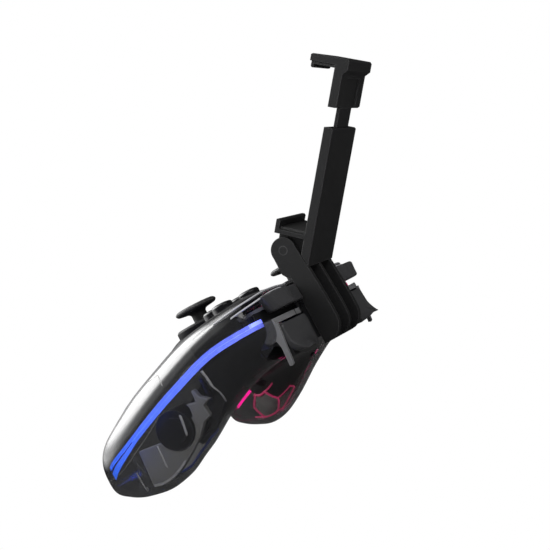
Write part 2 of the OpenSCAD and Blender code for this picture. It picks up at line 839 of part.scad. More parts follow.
module back_pad() {
  color([0.03, 0.03, 0.03])
    place()
      clip_frame()
        for (g = [-1, 1])
          scale([g, 1, 1])
            block([4, 9], [plate_f - 1.9, plate_f], [6, house_top - 4]);
}

front_shell();
rear_shell();
shoulder_frame();
light_right();
light_left();
circuit_board();
battery();
motor_right();
motor_left();
weight_right();
weight_left();
cradles();
stick_collars();
stick_modules();
ring_right();
ring_left();
stick_right();
stick_left();
dpad_pivot();
dpad();
button_south();
button_east();
button_west();
button_north();
menu_right();
menu_left();
home_button();
button_mats();
dpad_base();
bumper_right();
bumper_left();
trigger_right();
trigger_left();
usb_socket();
case_screws();
saddle();
saddle_screws();
hinge_pin();
stem();
upper_jaw();
jaw_pad_upper();
jaw_pad_lower();
back_pad();
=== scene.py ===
"""Looks of the mobile game controller: smoked clear shells, lit handles, black controls, folding clip."""

import bmesh
import bpy
import numpy as np
from mathutils import Matrix


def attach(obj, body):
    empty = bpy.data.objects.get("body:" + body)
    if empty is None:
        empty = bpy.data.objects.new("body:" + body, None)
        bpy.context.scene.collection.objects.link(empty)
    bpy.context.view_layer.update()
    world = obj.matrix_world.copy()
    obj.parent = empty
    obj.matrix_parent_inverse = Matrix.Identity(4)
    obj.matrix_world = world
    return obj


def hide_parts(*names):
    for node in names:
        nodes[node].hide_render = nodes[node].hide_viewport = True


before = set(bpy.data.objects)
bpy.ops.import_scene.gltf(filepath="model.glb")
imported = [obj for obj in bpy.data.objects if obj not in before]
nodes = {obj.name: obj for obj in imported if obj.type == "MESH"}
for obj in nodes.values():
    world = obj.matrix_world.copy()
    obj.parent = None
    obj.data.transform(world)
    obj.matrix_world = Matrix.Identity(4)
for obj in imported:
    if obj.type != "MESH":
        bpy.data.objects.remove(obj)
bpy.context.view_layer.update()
scene = bpy.context.scene

# The pad's own frame, in millimetres: x to the player's right, y forwards, z out of the face
REST_TILT = np.radians(18.18)
REST_SHIFT = np.array([0.0, -25.21, 43.62])
SIDES = {"right": 1, "left": -1}
WALL = 2.2
SEAM = 0.1
INNER_STEP = 0.965
TIP_LENGTH = 0.15
TIP_LEAST = 0.004
BEYOND = 60

# Outline tables, stations from the middle of the front round to the handle tip
OUTER_X = np.array([0, 20, 40, 56, 66.5, 71.5, 74.5, 76, 75.2, 73, 69.5])
OUTER_Y = np.array([36.6, 36.9, 39.3, 37.5, 28, 12, -6, -24, -41, -52.5, -59.4])
INNER_X = np.array([0, 13, 23, 29.5, 34, 38.2, 42.4, 47.4, 53.6, 58, 61.7])
INNER_Y = np.array([-24, -24, -25, -28, -32.8, -37.3, -41.9, -46.2, -51, -56.8, -61.8])
OUTER_Z = np.array([-12.8, -12.8, -12.8, -12.8, -13, -14.5, -20, -27, -33.6, -37.6, -40.6])
INNER_Z = np.array([-13, -13, -14, -17, -21, -25.1, -29.4, -33.2, -37.1, -41, -43.3])
FACE_SWELL = np.array([12.9, 12.9, 13.2, 14.2, 13.9, 13.6, 13.6, 14, 12.7, 11, 10.3])
BACK_SWELL = np.array([17.2, 17.6, 19.2, 21, 23.6, 26.8, 28.6, 26.8, 20, 13, 10.6])
BACK_LEAN = np.array([0.2, 0.25, 0.4, 0.75, 0.97, 0.65, 0.3, -0.12, -0.3, -0.42, -0.42])
FACE_POWER = np.array([7, 7, 7, 5, 4, 3.2, 2.8, 2.5, 2.4, 2.4, 2.4])
BACK_POWER = np.array([5, 5, 4.5, 3.8, 3.2, 2.6, 2.4, 2.3, 2.3, 2.3, 2.3])

# Places of the controls
STICKS = {"right": (19.0, -9.0), "left": (-40.0, 17.0)}
STICK_Z = -9.0
DPAD = (-19.0, -9.0)
HOME = (0.0, 6.0)
MENU = {hand: (side * 12.0, 16.0) for hand, side in SIDES.items()}
ACTION = (40.0, 17.0)
ACTION_PITCH = 9.4
COMPASS = {"east": (1, 0), "north": (0, 1), "west": (-1, 0), "south": (0, -1)}
KEYS = {key: (ACTION[0] + ACTION_PITCH * x, ACTION[1] + ACTION_PITCH * y) for key, (x, y) in COMPASS.items()}
HINGE = (39.9, 12.1)


def lay(p):
    """Turns pad points by the rest tilt about x, lifts them to the table and makes them metres."""
    p = np.asarray(p, float)
    c, s = np.cos(REST_TILT), np.sin(REST_TILT)
    x, y, z = p[..., 0], p[..., 1], p[..., 2]
    return (np.stack([x, y * c + z * s, z * c - y * s], -1) + REST_SHIFT) / 1000


def mirrored(points, side):
    """Points of the right half, or their mirror image in the middle plane where the side is -1."""
    return points * np.array([side, 1, 1])


def side_view(p):
    """Pad points of a drawing in y and z that is carried along x."""
    return p[:, [2, 0, 1]]


def front_view(p):
    """Pad points of a drawing in x and z that is carried along y."""
    return p[:, [0, 2, 1]]


def along_table(table, s):
    """Catmull-Rom curve through a table, s from 0 to 1, with its ends held."""
    last = len(table) - 1
    u = np.clip(s, 0, 0.99999) * last
    i = np.floor(u).astype(int)
    f = u - i
    p0, p1 = table[np.maximum(i - 1, 0)], table[i]
    p2, p3 = table[i + 1], table[np.minimum(i + 2, last)]
    return p1 + 0.5 * f * (p2 - p0 + f * (2 * p0 - 5 * p1 + 4 * p2 - p3 + f * (3 * (p1 - p2) + p3 - p0)))


def tip_close(s):
    """Quarter ellipse that rounds off the handle tip along its last stretch."""
    past = (s - (1 - TIP_LENGTH)) / TIP_LENGTH
    return np.where(past < 0, 1.0, np.sqrt(np.maximum(1 - past ** 2, TIP_LEAST)))


def skin(s, a, up, inset=0.0, close=1.0):
    """Pad skin: a superellipse arch over the chord between the outer and inner outlines at station s; a runs
    across the chord, up is 1 for the face and -1 for the back, inset moves inwards, close shrinks a tip."""
    s, a, close = np.broadcast_arrays(np.asarray(s, float), np.asarray(a, float), np.asarray(close, float))
    o = np.stack([along_table(OUTER_X, s), along_table(OUTER_Y, s)], -1)
    i = np.stack([along_table(INNER_X, s), along_table(INNER_Y, s)], -1)
    half = np.linalg.norm(i - o, axis=-1) / 2
    way = (i - o) / (2 * half[..., None])
    plan = (o + i) / 2 + way * ((half - inset) * close * (2 * a - 1))[..., None]
    b = 0.5 + (a - 0.5) * close
    if up > 0:
        swell, power = along_table(FACE_SWELL, s), along_table(FACE_POWER, s)
    else:
        swell = along_table(BACK_SWELL, s) * (1 + along_table(BACK_LEAN, s) * (a - 0.5))
        power = along_table(BACK_POWER, s)
    arch = np.maximum(1 - np.abs(2 * a - 1) ** power, 0) ** (1 / power)
    z = along_table(OUTER_Z, s) + (along_table(INNER_Z, s) - along_table(OUTER_Z, s)) * b
    z = z + up * (swell - inset) * close * arch + (SEAM if up > 0 else 0)
    return np.concatenate([plan, z[..., None]], -1)


# Mesh helpers
WELD = 2e-6
SLIVER = 1e-7
CREASE = 32.0


def quads(rows, cols, wrap_rows=False, wrap_cols=False):
    """Quad indices of a grid of points, with either way closed on itself."""
    i = np.arange(rows if wrap_rows else rows - 1)[:, None]
    j = np.arange(cols if wrap_cols else cols - 1)[None, :]
    k, m = (i + 1) % rows, (j + 1) % cols
    return np.stack([i * cols + j, i * cols + m, k * cols + m, k * cols + j], -1).reshape(-1, 4)


def tube_faces(rows, cols):
    """Faces of a row of rings, with the first and the last ring closed by a lid."""
    rings = np.arange(rows * cols).reshape(rows, cols)
    return quads(rows, cols, wrap_cols=True).tolist() + [rings[0].tolist(), rings[-1].tolist()]


def mesh_of(name, points, faces, marks=None):
    """A mesh from points and faces, welded and turned outwards; marks become material indices of faces."""
    mesh = bpy.data.meshes.new(name)
    mesh.from_pydata(np.asarray(points).reshape(-1, 3).tolist(), [], faces)
    if marks is not None:
        mesh.materials.append(SMOKED)
        mesh.materials.append(SMOKED)
        mesh.polygons.foreach_set("material_index", marks)
    bm = bmesh.new()
    bm.from_mesh(mesh)
    bmesh.ops.remove_doubles(bm, verts=bm.verts, dist=WELD)
    bmesh.ops.dissolve_degenerate(bm, edges=bm.edges, dist=SLIVER)
    bmesh.ops.recalc_face_normals(bm, faces=bm.faces)
    bm.to_mesh(mesh)
    bm.free()
    return mesh


def merged(parts):
    """Points and faces of several pieces put together."""
    points, faces, count = [], [], 0
    for p, f in parts:
        points.append(p)
        faces += [[i + count for i in q] for q in f]
        count += len(p)
    return np.concatenate(points), faces


def joined(name, parts):
    """One mesh from the points and faces of several pieces on the pad."""
    points, faces = merged(parts)
    return mesh_of(name, lay(points), faces)


def shade(mesh, angle=CREASE):
    """Smooth shading, with edges sharper than the angle left crisp."""
    mesh.polygons.foreach_set("use_smooth", np.ones(len(mesh.polygons), bool))
    mesh.set_sharp_from_angle(angle=np.radians(angle))


def linked(name, data):
    """An object in the scene that holds a mesh, a lamp or a camera."""
    obj = bpy.data.objects.new(name, data)
    scene.collection.objects.link(obj)
    return obj


def marked(mesh, label, domain, values):
    """Keeps numbers on the faces or points of a mesh, for its material to read."""
    layer = mesh.attributes.new(label, "FLOAT", domain)
    layer.data.foreach_set("value", np.asarray(values, np.float32).ravel())


def piece(name, mesh, material, body, replaces=(), angle=CREASE):
    """A finished piece: shaded, given its material, riding on its body and standing for CAD nodes."""
    if angle:
        shade(mesh, angle)
    mesh.materials.clear()
    mesh.materials.append(material)
    obj = linked(name, mesh)
    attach(obj, body)
    if replaces:
        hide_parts(*replaces)
    return obj


def applied(mesh, modify):
    """The mesh after modifiers: a helper object carries it, modify adds them, and the result is kept."""
    helper = linked("helper", mesh)
    spare = modify(helper) or []
    graph = bpy.context.evaluated_depsgraph_get()
    made = bpy.data.meshes.new_from_object(helper.evaluated_get(graph))
    for o in [helper] + spare:
        bpy.data.objects.remove(o)
    return made


def cut(mesh, cutters):
    """The mesh less the cutters."""
    def modify(helper):
        spare = []
        for n, c in enumerate(cutters):
            tool = linked("cutter", c)
            m = helper.modifiers.new("cut%d" % n, "BOOLEAN")
            m.operation, m.solver, m.object = "DIFFERENCE", "EXACT", tool
            spare.append(tool)
        return spare
    return applied(mesh, modify)


# Rounding of CAD solids, in metres and degrees
CAD_WELD = 1e-6
CAD_FLAT = 0.6
CAD_CREASE = 40
BEVEL_STEPS = 3
BEVEL_ANGLE = 38.0


def softened(cad, radius):
    """A CAD node's mesh, welded, its flat faces joined, its edges bevelled by a radius in millimetres."""
    mesh = nodes[cad].data.copy()
    bm = bmesh.new()
    bm.from_mesh(mesh)
    bmesh.ops.remove_doubles(bm, verts=bm.verts, dist=CAD_WELD)
    bmesh.ops.dissolve_limit(bm, angle_limit=np.radians(CAD_FLAT), verts=bm.verts, edges=bm.edges)
    bm.to_mesh(mesh)
    bm.free()
    for layer in list(mesh.attributes):
        if layer.name == "custom_normal":
            mesh.attributes.remove(layer)

    def modify(helper):
        m = helper.modifiers.new("round", "BEVEL")
        m.width, m.segments = radius / 1000, BEVEL_STEPS
        m.limit_method, m.angle_limit = "ANGLE", np.radians(BEVEL_ANGLE)
        m.use_clamp_overlap = True
        m.miter_outer = "MITER_ARC"
        even = helper.modifiers.new("even", "WEIGHTED_NORMAL")
        even.keep_sharp, even.weight = True, 100
    shade(mesh, CAD_CREASE)
    return applied(mesh, modify)


# Outlines and plain forms
SEGMENTS = 96


def rounded(outline, radius, steps=5, closed=False):
    """An outline with its corners replaced by quadratic arcs that start a radius away from each corner, or
    45% of the way along a short side."""
    p = np.asarray(outline, float)
    before, after = np.roll(p, 1, 0), np.roll(p, -1, 0)
    to_b, to_a = before - p, after - p
    lb = np.linalg.norm(to_b, axis=1, keepdims=True)
    la = np.linalg.norm(to_a, axis=1, keepdims=True)
    q0 = p + to_b / lb * np.minimum(radius, 0.45 * lb)
    q1 = p + to_a / la * np.minimum(radius, 0.45 * la)
    t = np.linspace(0, 1, steps)[None, :, None]
    bend = (1 - t) ** 2 * q0[:, None] + 2 * t * (1 - t) * p[:, None] + t ** 2 * q1[:, None]
    if closed:
        return bend.reshape(-1, p.shape[1])
    return np.concatenate([p[:1], bend[1:-1].reshape(-1, p.shape[1]), p[-1:]])


def lathe(profile, segments=SEGMENTS, ripple=None):
    """A profile of radius and height carried round z; ripple adds to the radius by angle and height."""
    profile = np.asarray(profile, float)
    t = np.linspace(0, 2 * np.pi, segments, endpoint=False)[:, None]
    r, z = profile[None, :, 0], profile[None, :, 1]
    if ripple is not None:
        r = r + ripple(t, r, z)
    return np.stack([r * np.cos(t), r * np.sin(t), z + 0 * t], -1)


def arc(radius, centre_z, z0, z1, steps=24):
    """Meridian of a sphere from height z0 to z1."""
    z = np.linspace(z0, z1, steps)
    return np.stack([np.sqrt(np.maximum(radius ** 2 - (z - centre_z) ** 2, 0)), z], -1)


def prism(outline, z0, z1, view=lambda p: p):
    """An outline in x and y drawn from z0 to z1, or a side or front view drawn along its own way."""
    o = np.asarray(outline, float)
    low = np.concatenate([o, np.full((len(o), 1), z0)], 1)
    high = np.concatenate([o, np.full((len(o), 1), z1)], 1)
    return mesh_of("prism", lay(view(np.concatenate([low, high]))), tube_faces(2, len(o)))


def ring_points(radius, centre=(0, 0), steps=72):
    """Points of a circle."""
    t = np.linspace(0, 2 * np.pi, steps, endpoint=False)
    return np.stack([centre[0] + radius * np.cos(t), centre[1] + radius * np.sin(t)], -1)


def box_points(x0, x1, y0, y1):
    """Corners of a rectangle."""
    return np.array([[x0, y0], [x1, y0], [x1, y1], [x0, y1]], float)


# Shader helpers


def feed(tree, target, feeds):
    """Gives a node's inputs, by name or number, the output of another node or a plain value."""
    for key, source in feeds.items():
        if isinstance(source, bpy.types.NodeSocket):
            tree.links.new(source, target.inputs[key])
        else:
            target.inputs[key].default_value = source


def node(tree, kind, feeds=None, **values):
    """A shader node with its properties set and its inputs fed."""
    made = tree.nodes.new(kind)
    for label, value in values.items():
        setattr(made, label, value)
    feed(tree, made, feeds or {})
    return made


def noise(tree, vector, scale, detail, **more):
    """Noise from 0 to 1 over a vector."""
    feeds = {"Vector": vector, "Scale": scale, "Detail": detail, **more}
    return node(tree, "ShaderNodeTexNoise", feeds).outputs["Fac"]


def maths(tree, operation, *terms, **values):
    """The result of one operation on numbers or outputs."""
    return node(tree, "ShaderNodeMath", dict(enumerate(terms)), operation=operation, **values).outputs[0]


def ramp(tree, value, low, high, start_at=0.0, end_at=1.0):
    """A value carried from the range of start to end over to that of low to high, held at both ends."""
    ranges = {"From Min": start_at, "From Max": end_at, "To Min": low, "To Max": high}
    return node(tree, "ShaderNodeMapRange", {"Value": value, **ranges}).outputs["Result"]


def blend(tree, share, first, second, kind="RGBA"):
    """A mix of two colours or, with the kind FLOAT, of two numbers."""
    a, b, result = {"RGBA": (6, 7, 2), "FLOAT": (2, 3, 0)}[kind]
    return node(tree, "ShaderNodeMix", {0: share, a: first, b: second}, data_type=kind).outputs[result]


def scaled(tree, colour, share):
    """A colour made lighter or darker by a number."""
    return node(tree, "ShaderNodeVectorMath", {0: colour, "Scale": share}, operation="SCALE").outputs[0]


def group(name, inputs, outputs):
    """A shader node group with sockets of the kinds named: the tree, what it is given, and its output."""
    tree = bpy.data.node_groups.new(name, "ShaderNodeTree")
    for way, sockets in (("INPUT", inputs), ("OUTPUT", outputs)):
        for label, kind in sockets.items():
            tree.interface.new_socket(label, in_out=way, socket_type="NodeSocket" + kind)
    return tree, node(tree, "NodeGroupInput").outputs, node(tree, "NodeGroupOutput")


def moulded_grain():
    """Spark-eroded grain: a fine noise as a height, and a broad one that swings the base roughness."""
    tree, given, out = group("moulded_grain",
                             {"Vector": "Vector", "Scale": "Float", "Base Roughness": "Float",
                              "Roughness Swing": "Float"}, {"Height": "Float", "Roughness": "Float"})
    fine = noise(tree, given["Vector"], given["Scale"], 3.0, Roughness=0.6)
    broad = noise(tree, given["Vector"], 38.0, 4.0)
    swing = maths(tree, "SUBTRACT", broad, 0.5)
    rough = maths(tree, "MULTIPLY_ADD", swing, given["Roughness Swing"], given["Base Roughness"])
    feed(tree, out, {"Height": fine, "Roughness": rough})
    return tree


def edge_wear_and_glint():
    """Rubbed edges and painted edge glints: the worn colour, which on some finishes is a painted highlight,
    where a rounded normal leaves the true one, broken up by noise.
    """
    tree, given, out = group("edge_wear_and_glint",
                             {"Vector": "Vector", "Colour": "Color", "Worn And Glint": "Color", "Amount": "Float",
                              "Mottle": "Float"}, {"Colour": "Color"})
    bevel = node(tree, "ShaderNodeBevel", {"Radius": 0.0005}, samples=4)
    geo = node(tree, "ShaderNodeNewGeometry")
    dot = node(tree, "ShaderNodeVectorMath", {0: bevel.outputs["Normal"], 1: geo.outputs["Normal"]},
               operation="DOT_PRODUCT")
    away = ramp(tree, dot.outputs["Value"], 0.0, 1.0, 0.995, 0.9)
    broken = maths(tree, "MULTIPLY", away, noise(tree, given["Vector"], 240.0, 5.0))
    mask = maths(tree, "MULTIPLY", broken, given["Amount"], use_clamp=True)
    cloud = noise(tree, given["Vector"], 55.0, 6.0)
    tone = scaled(tree, given["Colour"], maths(tree, "MULTIPLY_ADD", cloud, given["Mottle"], 0.85))
    feed(tree, out, {"Colour": blend(tree, mask, tone, given["Worn And Glint"])})
    return tree


GRAIN = moulded_grain()
WEAR_AND_GLINT = edge_wear_and_glint()


def blank(name):
    """A material that holds only its output."""
    mat = bpy.data.materials.new(name)
    mat.use_nodes = True
    mat.node_tree.nodes.clear()
    return mat, mat.node_tree, node(mat.node_tree, "ShaderNodeOutputMaterial")


def start(name):
    """A material with its Principled shader, output and Object coordinates."""
    mat, tree, out = blank(name)
    bsdf = node(tree, "ShaderNodeBsdfPrincipled")
    feed(tree, out, {0: bsdf.outputs[0]})
    return mat, tree, bsdf, node(tree, "ShaderNodeTexCoord").outputs["Object"]


def moulded(name, colour, rough, scale=900.0, bump=0.12, worn_and_glint=(0.09, 0.09, 0.095), amount=0.6, ior=1.45,
            metallic=0.0):
    """Moulded plastic or coated metal: grain for height and roughness, rubbed edges and painted edge glints
    for colour.
    """
    mat, tree, bsdf, place = start(name)
    grain = node(tree, "ShaderNodeGroup", {"Vector": place, "Scale": scale, "Base Roughness": rough,
                                           "Roughness Swing": 0.15}, node_tree=GRAIN)
    wear = node(tree, "ShaderNodeGroup", {"Vector": place, "Colour": (*colour, 1), "Worn And Glint": (*worn_and_glint, 1),
                                          "Amount": amount, "Mottle": 0.3}, node_tree=WEAR_AND_GLINT)
    relief = node(tree, "ShaderNodeBump",
                  {"Strength": bump, "Distance": 0.0002, "Height": grain.outputs["Height"]})
    feed(tree, bsdf, {"Normal": relief.outputs[0], "Base Color": wear.outputs["Colour"],
                      "Roughness": grain.outputs["Roughness"], "IOR": ior, "Metallic": metallic})
    return mat


def smoked_clear():
    """Smoked clear plastic: dark gloss over a see-through body, denser where the wall is seen along its
    length. The far wall's outer skin, met from inside, is nearly black, as the smoke tint is on a long way
    through. Shadow and diffuse rays pass more easily, so that the inside is lit."""
    mat, tree, bsdf, place = start("smoked_clear")
    grain = node(tree, "ShaderNodeGroup", {"Vector": place, "Scale": 300.0, "Base Roughness": 0.1,
                                           "Roughness Swing": 0.08}, node_tree=GRAIN)
    weight = node(tree, "ShaderNodeLayerWeight", {"Blend": 0.35})
    dense = ramp(tree, weight.outputs["Facing"], 0.5, 0.95)
    far = blend(tree, node(tree, "ShaderNodeNewGeometry").outputs["Backfacing"], dense, 0.95, "FLOAT")
    outer = node(tree, "ShaderNodeAttribute", attribute_name="outer").outputs["Fac"]
    skins = blend(tree, outer, 0.16, far, "FLOAT")
    ray = node(tree, "ShaderNodeLightPath").outputs
    thin = ramp(tree, maths(tree, "MAXIMUM", ray["Is Shadow Ray"], ray["Is Diffuse Ray"]), 1.0, 0.25)
    tint = blend(tree, noise(tree, place, 30.0, 3.0), (0.011, 0.011, 0.012, 1), (0.02, 0.02, 0.022, 1))
    feed(tree, bsdf, {"Roughness": grain.outputs["Roughness"], "Alpha": maths(tree, "MULTIPLY", skins, thin),
                      "Base Color": tint, "IOR": 2.2})
    return mat


def lit_guide(name, low, high, strength, fade=(0.0, 0.07, 0.42)):
    """Frosted light guide: its glow runs from the high colour at the shoulder to the low one at the tip,
    with faint frosting; it comes up between two places along it from a lesser share."""
    mat, tree, bsdf, place = start(name)
    along = node(tree, "ShaderNodeAttribute", attribute_name="along").outputs["Fac"]
    glow = blend(tree, along, (*high, 1), (*low, 1))
    frost = ramp(tree, noise(tree, place, 420.0, 4.0), 0.6, 1.3)
    level = maths(tree, "MULTIPLY", frost, ramp(tree, along, fade[2], 1.0, *fade[:2]))
    feed(tree, bsdf, {"Emission Color": scaled(tree, glow, level), "Base Color": glow,
                      "Emission Strength": strength, "Roughness": 0.45})
    return mat


def board_mask():
    """Dark solder mask over copper: a brick pattern for the tracks, dots of Voronoi cells for the vias."""
    mat, tree, bsdf, place = start("board_mask")
    tracks = node(tree, "ShaderNodeTexBrick",
                  {"Vector": place, "Scale": 220.0, "Mortar Size": 0.06, "Color1": (0.006, 0.02, 0.013, 1),
                   "Color2": (0.009, 0.028, 0.018, 1), "Mortar": (0.03, 0.06, 0.035, 1)})
    vias = node(tree, "ShaderNodeTexVoronoi", {"Vector": place, "Scale": 260.0})
    dot = maths(tree, "LESS_THAN", vias.outputs["Distance"], 0.14)
    feed(tree, bsdf, {"Base Color": blend(tree, dot, tracks.outputs["Color"], (0.45, 0.33, 0.14, 1)),
                      "Metallic": dot, "Roughness": 0.32})
    return mat


def dark_inside(mat, reach, gap):
    """Darkens a colour where the distance from the middle plane is under the reach or within the gap."""
    tree = mat.node_tree
    bsdf = [n for n in tree.nodes if n.type == "BSDF_PRINCIPLED"][0]
    source = bsdf.inputs["Base Color"].links[0].from_socket
    split = node(tree, "ShaderNodeSeparateXYZ", {0: node(tree, "ShaderNodeTexCoord").outputs["Object"]})
    away = maths(tree, "ABSOLUTE", split.outputs["X"])
    dark = maths(tree, "MAXIMUM", maths(tree, "LESS_THAN", away, reach), maths(tree, "COMPARE", away, *gap))
    feed(tree, bsdf, {"Base Color": blend(tree, dark, source, (0.008, 0.008, 0.009, 1))})


# Finishes
SMOKED = smoked_clear()
BLUE = lit_guide("light_blue", (0.02, 0.13, 0.9), (0.16, 0.2, 1.0), 2.3)
ROSE = lit_guide("light_magenta", (1.0, 0.004, 0.3), (0.9, 0.01, 0.2), 4.0, (0.26, 0.4, 0.04))
EVEN = (0, 1, 1)
# The cells are no lamps: their glow is painted light, the handle's light falling on them.
CELL_GLOW = {"right": lit_guide("cell_glow_blue", (0.05, 0.08, 0.4), (0.05, 0.08, 0.4), 0.12, EVEN),
         "left": lit_guide("cell_glow_rose", (0.8, 0.05, 0.2), (0.8, 0.05, 0.2), 0.7, EVEN)}
BOARD = board_mask()
SATIN = moulded("black_satin", (0.016, 0.016, 0.0165), 0.5, scale=1100.0, bump=0.2, worn_and_glint=(0.11, 0.11, 0.112),
                amount=1.0, ior=1.33)
GLOSS = moulded("black_gloss", (0.008, 0.008, 0.009), 0.2, scale=700.0, bump=0.03, amount=0.35)
# Rubber of the sticks: its light worn colour paints glints on the rim of the cap.
RUBBER = moulded("black_rubber", (0.012, 0.012, 0.012), 0.6, scale=1500.0, bump=0.3, worn_and_glint=(0.16, 0.16, 0.16),
                 amount=1.0)
# Collar: its light worn colour, laid on strongly, paints glints on the ring round the stick.
COLLAR = moulded("collar_black", (0.006, 0.006, 0.007), 0.42, bump=0.15, worn_and_glint=(0.4, 0.4, 0.4), amount=1.4,
                 ior=1.18)
# Black of the sheets inside the shoulders, at the trigger windows and behind the bumpers, and of the trigger
# arms: painted shade.
SHADE_BLACK = moulded("lining_black", (0.016, 0.016, 0.017), 0.5, scale=700.0, bump=0.04, amount=0.0, ior=1.3)
GREY_GLOSS = moulded("smoked_grey", (0.04, 0.04, 0.042), 0.3, scale=800.0, bump=0.05,
                     worn_and_glint=(0.12, 0.12, 0.125))
FRAME_GREY = moulded("frame_grey", (0.15, 0.15, 0.155), 0.3, scale=800.0, bump=0.05, worn_and_glint=(0.4, 0.4, 0.42))
dark_inside(FRAME_GREY, 0.0285, (0.0352, 0.0006))
BRACKET = moulded("bracket_grey", (0.3, 0.295, 0.27), 0.42, bump=0.1, worn_and_glint=(0.75, 0.75, 0.78), amount=0.9)
# Light grey of the bright edges of the face: a painted highlight.
FACE_GLINT = moulded("face_glint_grey", (0.42, 0.42, 0.44), 0.25, scale=800.0, bump=0.05, worn_and_glint=(0.8, 0.8, 0.82))
PLATE = moulded("cell_grey", (0.5, 0.49, 0.46), 0.35, scale=800.0, bump=0.08, worn_and_glint=(0.5, 0.5, 0.5))
# Ribs, rims and bright lines inside the handles: the ribs are moulded, but their light grey is a painted
# highlight, the light their edges catch.
RIB_GLINT = moulded("rib_painted_glint", (0.62, 0.62, 0.6), 0.3, bump=0.05, worn_and_glint=(0.9, 0.9, 0.92), amount=1.0)
STEEL = moulded("steel", (0.3, 0.3, 0.31), 0.28, scale=500.0, bump=0.05, worn_and_glint=(0.8, 0.8, 0.82), metallic=1.0)
MOTOR = moulded("motor_black", (0.012, 0.012, 0.013), 0.34, scale=500.0, bump=0.06, worn_and_glint=(0.2, 0.2, 0.2))
FOIL = moulded("cell_foil", (0.3, 0.31, 0.33), 0.38, scale=160.0, bump=0.1, worn_and_glint=(0.5, 0.5, 0.5),
               metallic=0.8)
SILICONE = moulded("mat_silicone", (0.16, 0.16, 0.17), 0.6, bump=0.1, worn_and_glint=(0.3, 0.3, 0.3))

# Clear shells, with the radii of their holes and the places of their windows
SHELL_STATIONS = 90
SHELL_ACROSS = 41
SHELL_END = 0.9995
SHELL_CROWDING = 1.45
SHELL_CREASE = 35
STICK_HOLE, DPAD_HOLE, HOME_HOLE, MENU_HOLE, KEY_HOLE = 13.05, 12.1, 4.8, 3.0, 5.2
HOLE_Z = (-11.5, 20)
BUMPER_WINDOW_X, BUMPER_WINDOW_Y, BUMPER_WINDOW_Z = 66, 30.6, (-20, -2.6)
TRIGGER_WINDOW_X, TRIGGER_WINDOW_Y, TRIGGER_WINDOW_Z = 56.5, 27, (-40, -5)
SOCKET_SLOT = rounded(box_points(-4.9, 4.9, -18.3, -14.2), 2.0, 6, True)
SOCKET_Y = (-40, -19.5)
BOSS_PLACES = ((0.27, 0.47), (0.225, 0.9))
BOSS_RADIUS, SHANK_RADIUS, HEAD_RADIUS, BOSS_TOP = 3, 1.3, 2.65, -19.6
BOSS_FLOOR, BOSS_SEAT = 2.0, 2.7
SCREW_HOLE, SCREW_SEAT, FAR_BELOW = 2.7, 2.6, -70


def crowded(start_at, end_at, count):
    """Shares across a section that lie closer towards its edges: half of one less a cosine."""
    return (0.5 - 0.5 * np.cos(np.linspace(start_at, end_at, count)))[None, :]


def slab(outer, inner):
    """Two skins over one grid, put together as rings and closed at both ends."""
    ring = np.concatenate([outer, inner[:, ::-1]], 1)
    rows, cols = ring.shape[:2]
    j = np.arange(cols // 2 - 1)
    lid = np.stack([j, j + 1, cols - 2 - j, cols - 1 - j], -1)
    return ring, np.concatenate([quads(rows, cols, wrap_cols=True), lid, lid + (rows - 1) * cols]).tolist()


def shell_mesh(up):
    """A closed shell: at each station a ring of the outer skin and, inset by the wall, the inner one."""
    u = np.linspace(-1, 1, 2 * SHELL_STATIONS + 1)[:, None]
    s = SHELL_END * (1 - (1 - np.abs(u)) ** SHELL_CROWDING)
    a, close = crowded(0, np.pi, SHELL_ACROSS), tip_close(s)
    ring, faces = slab(skin(s, a, up, 0.0, close), skin(INNER_STEP * s, a, up, WALL, close))
    ring[..., 0] *= np.where(u < 0, -1, 1)
    around = np.tile(np.arange(2 * SHELL_ACROSS) < SHELL_ACROSS - 1, 2 * SHELL_STATIONS)
    marks = np.concatenate([around, np.zeros(2 * SHELL_ACROSS - 2, bool)])
    return mesh_of("shell", lay(ring), faces, marks.astype(np.int32))


def skins_marked(mesh):
    """The cut shell with a face attribute, 1 on the outer skin and 0 on the inner skin and in the holes."""
    marks = np.empty(len(mesh.polygons), np.int32)
    mesh.polygons.foreach_get("material_index", marks)
    marked(mesh, "outer", "FACE", marks == 1)
    mesh.polygons.foreach_set("material_index", np.zeros(len(marks), np.int32))
    return mesh


def face_cutters():
    """Holes of the face: sticks, directional pad, buttons, and the bumper window in the front wall."""
    holes = [(place, STICK_HOLE) for place in STICKS.values()] + [(DPAD, DPAD_HOLE), (HOME, HOME_HOLE)]
    holes += [(MENU["left"], MENU_HOLE), (MENU["right"], MENU_HOLE)]
    holes += [(place, KEY_HOLE) for place in KEYS.values()]
    window = box_points(-BUMPER_WINDOW_X, BUMPER_WINDOW_X, BUMPER_WINDOW_Y, BEYOND)
    tools = [prism(ring_points(radius, place), *HOLE_Z) for place, radius in holes]
    return tools + [prism(window, *BUMPER_WINDOW_Z)]


def bosses():
    """Plan places and floor heights of the screw bosses, right side first."""
    return [mirrored(skin(s, a, -1), side) for s, a in BOSS_PLACES for side in SIDES.values()]


def back_cutters():
    """Holes of the back: trigger window, charging slot and screws."""
    window = box_points(-TRIGGER_WINDOW_X, TRIGGER_WINDOW_X, TRIGGER_WINDOW_Y, BEYOND)
    tools = [prism(window, *TRIGGER_WINDOW_Z), prism(SOCKET_SLOT, *SOCKET_Y, front_view)]
    for x, y, z in bosses():
        tools.append(prism(ring_points(SCREW_HOLE, (x, y), 40), FAR_BELOW, z + SCREW_SEAT))
    return tools


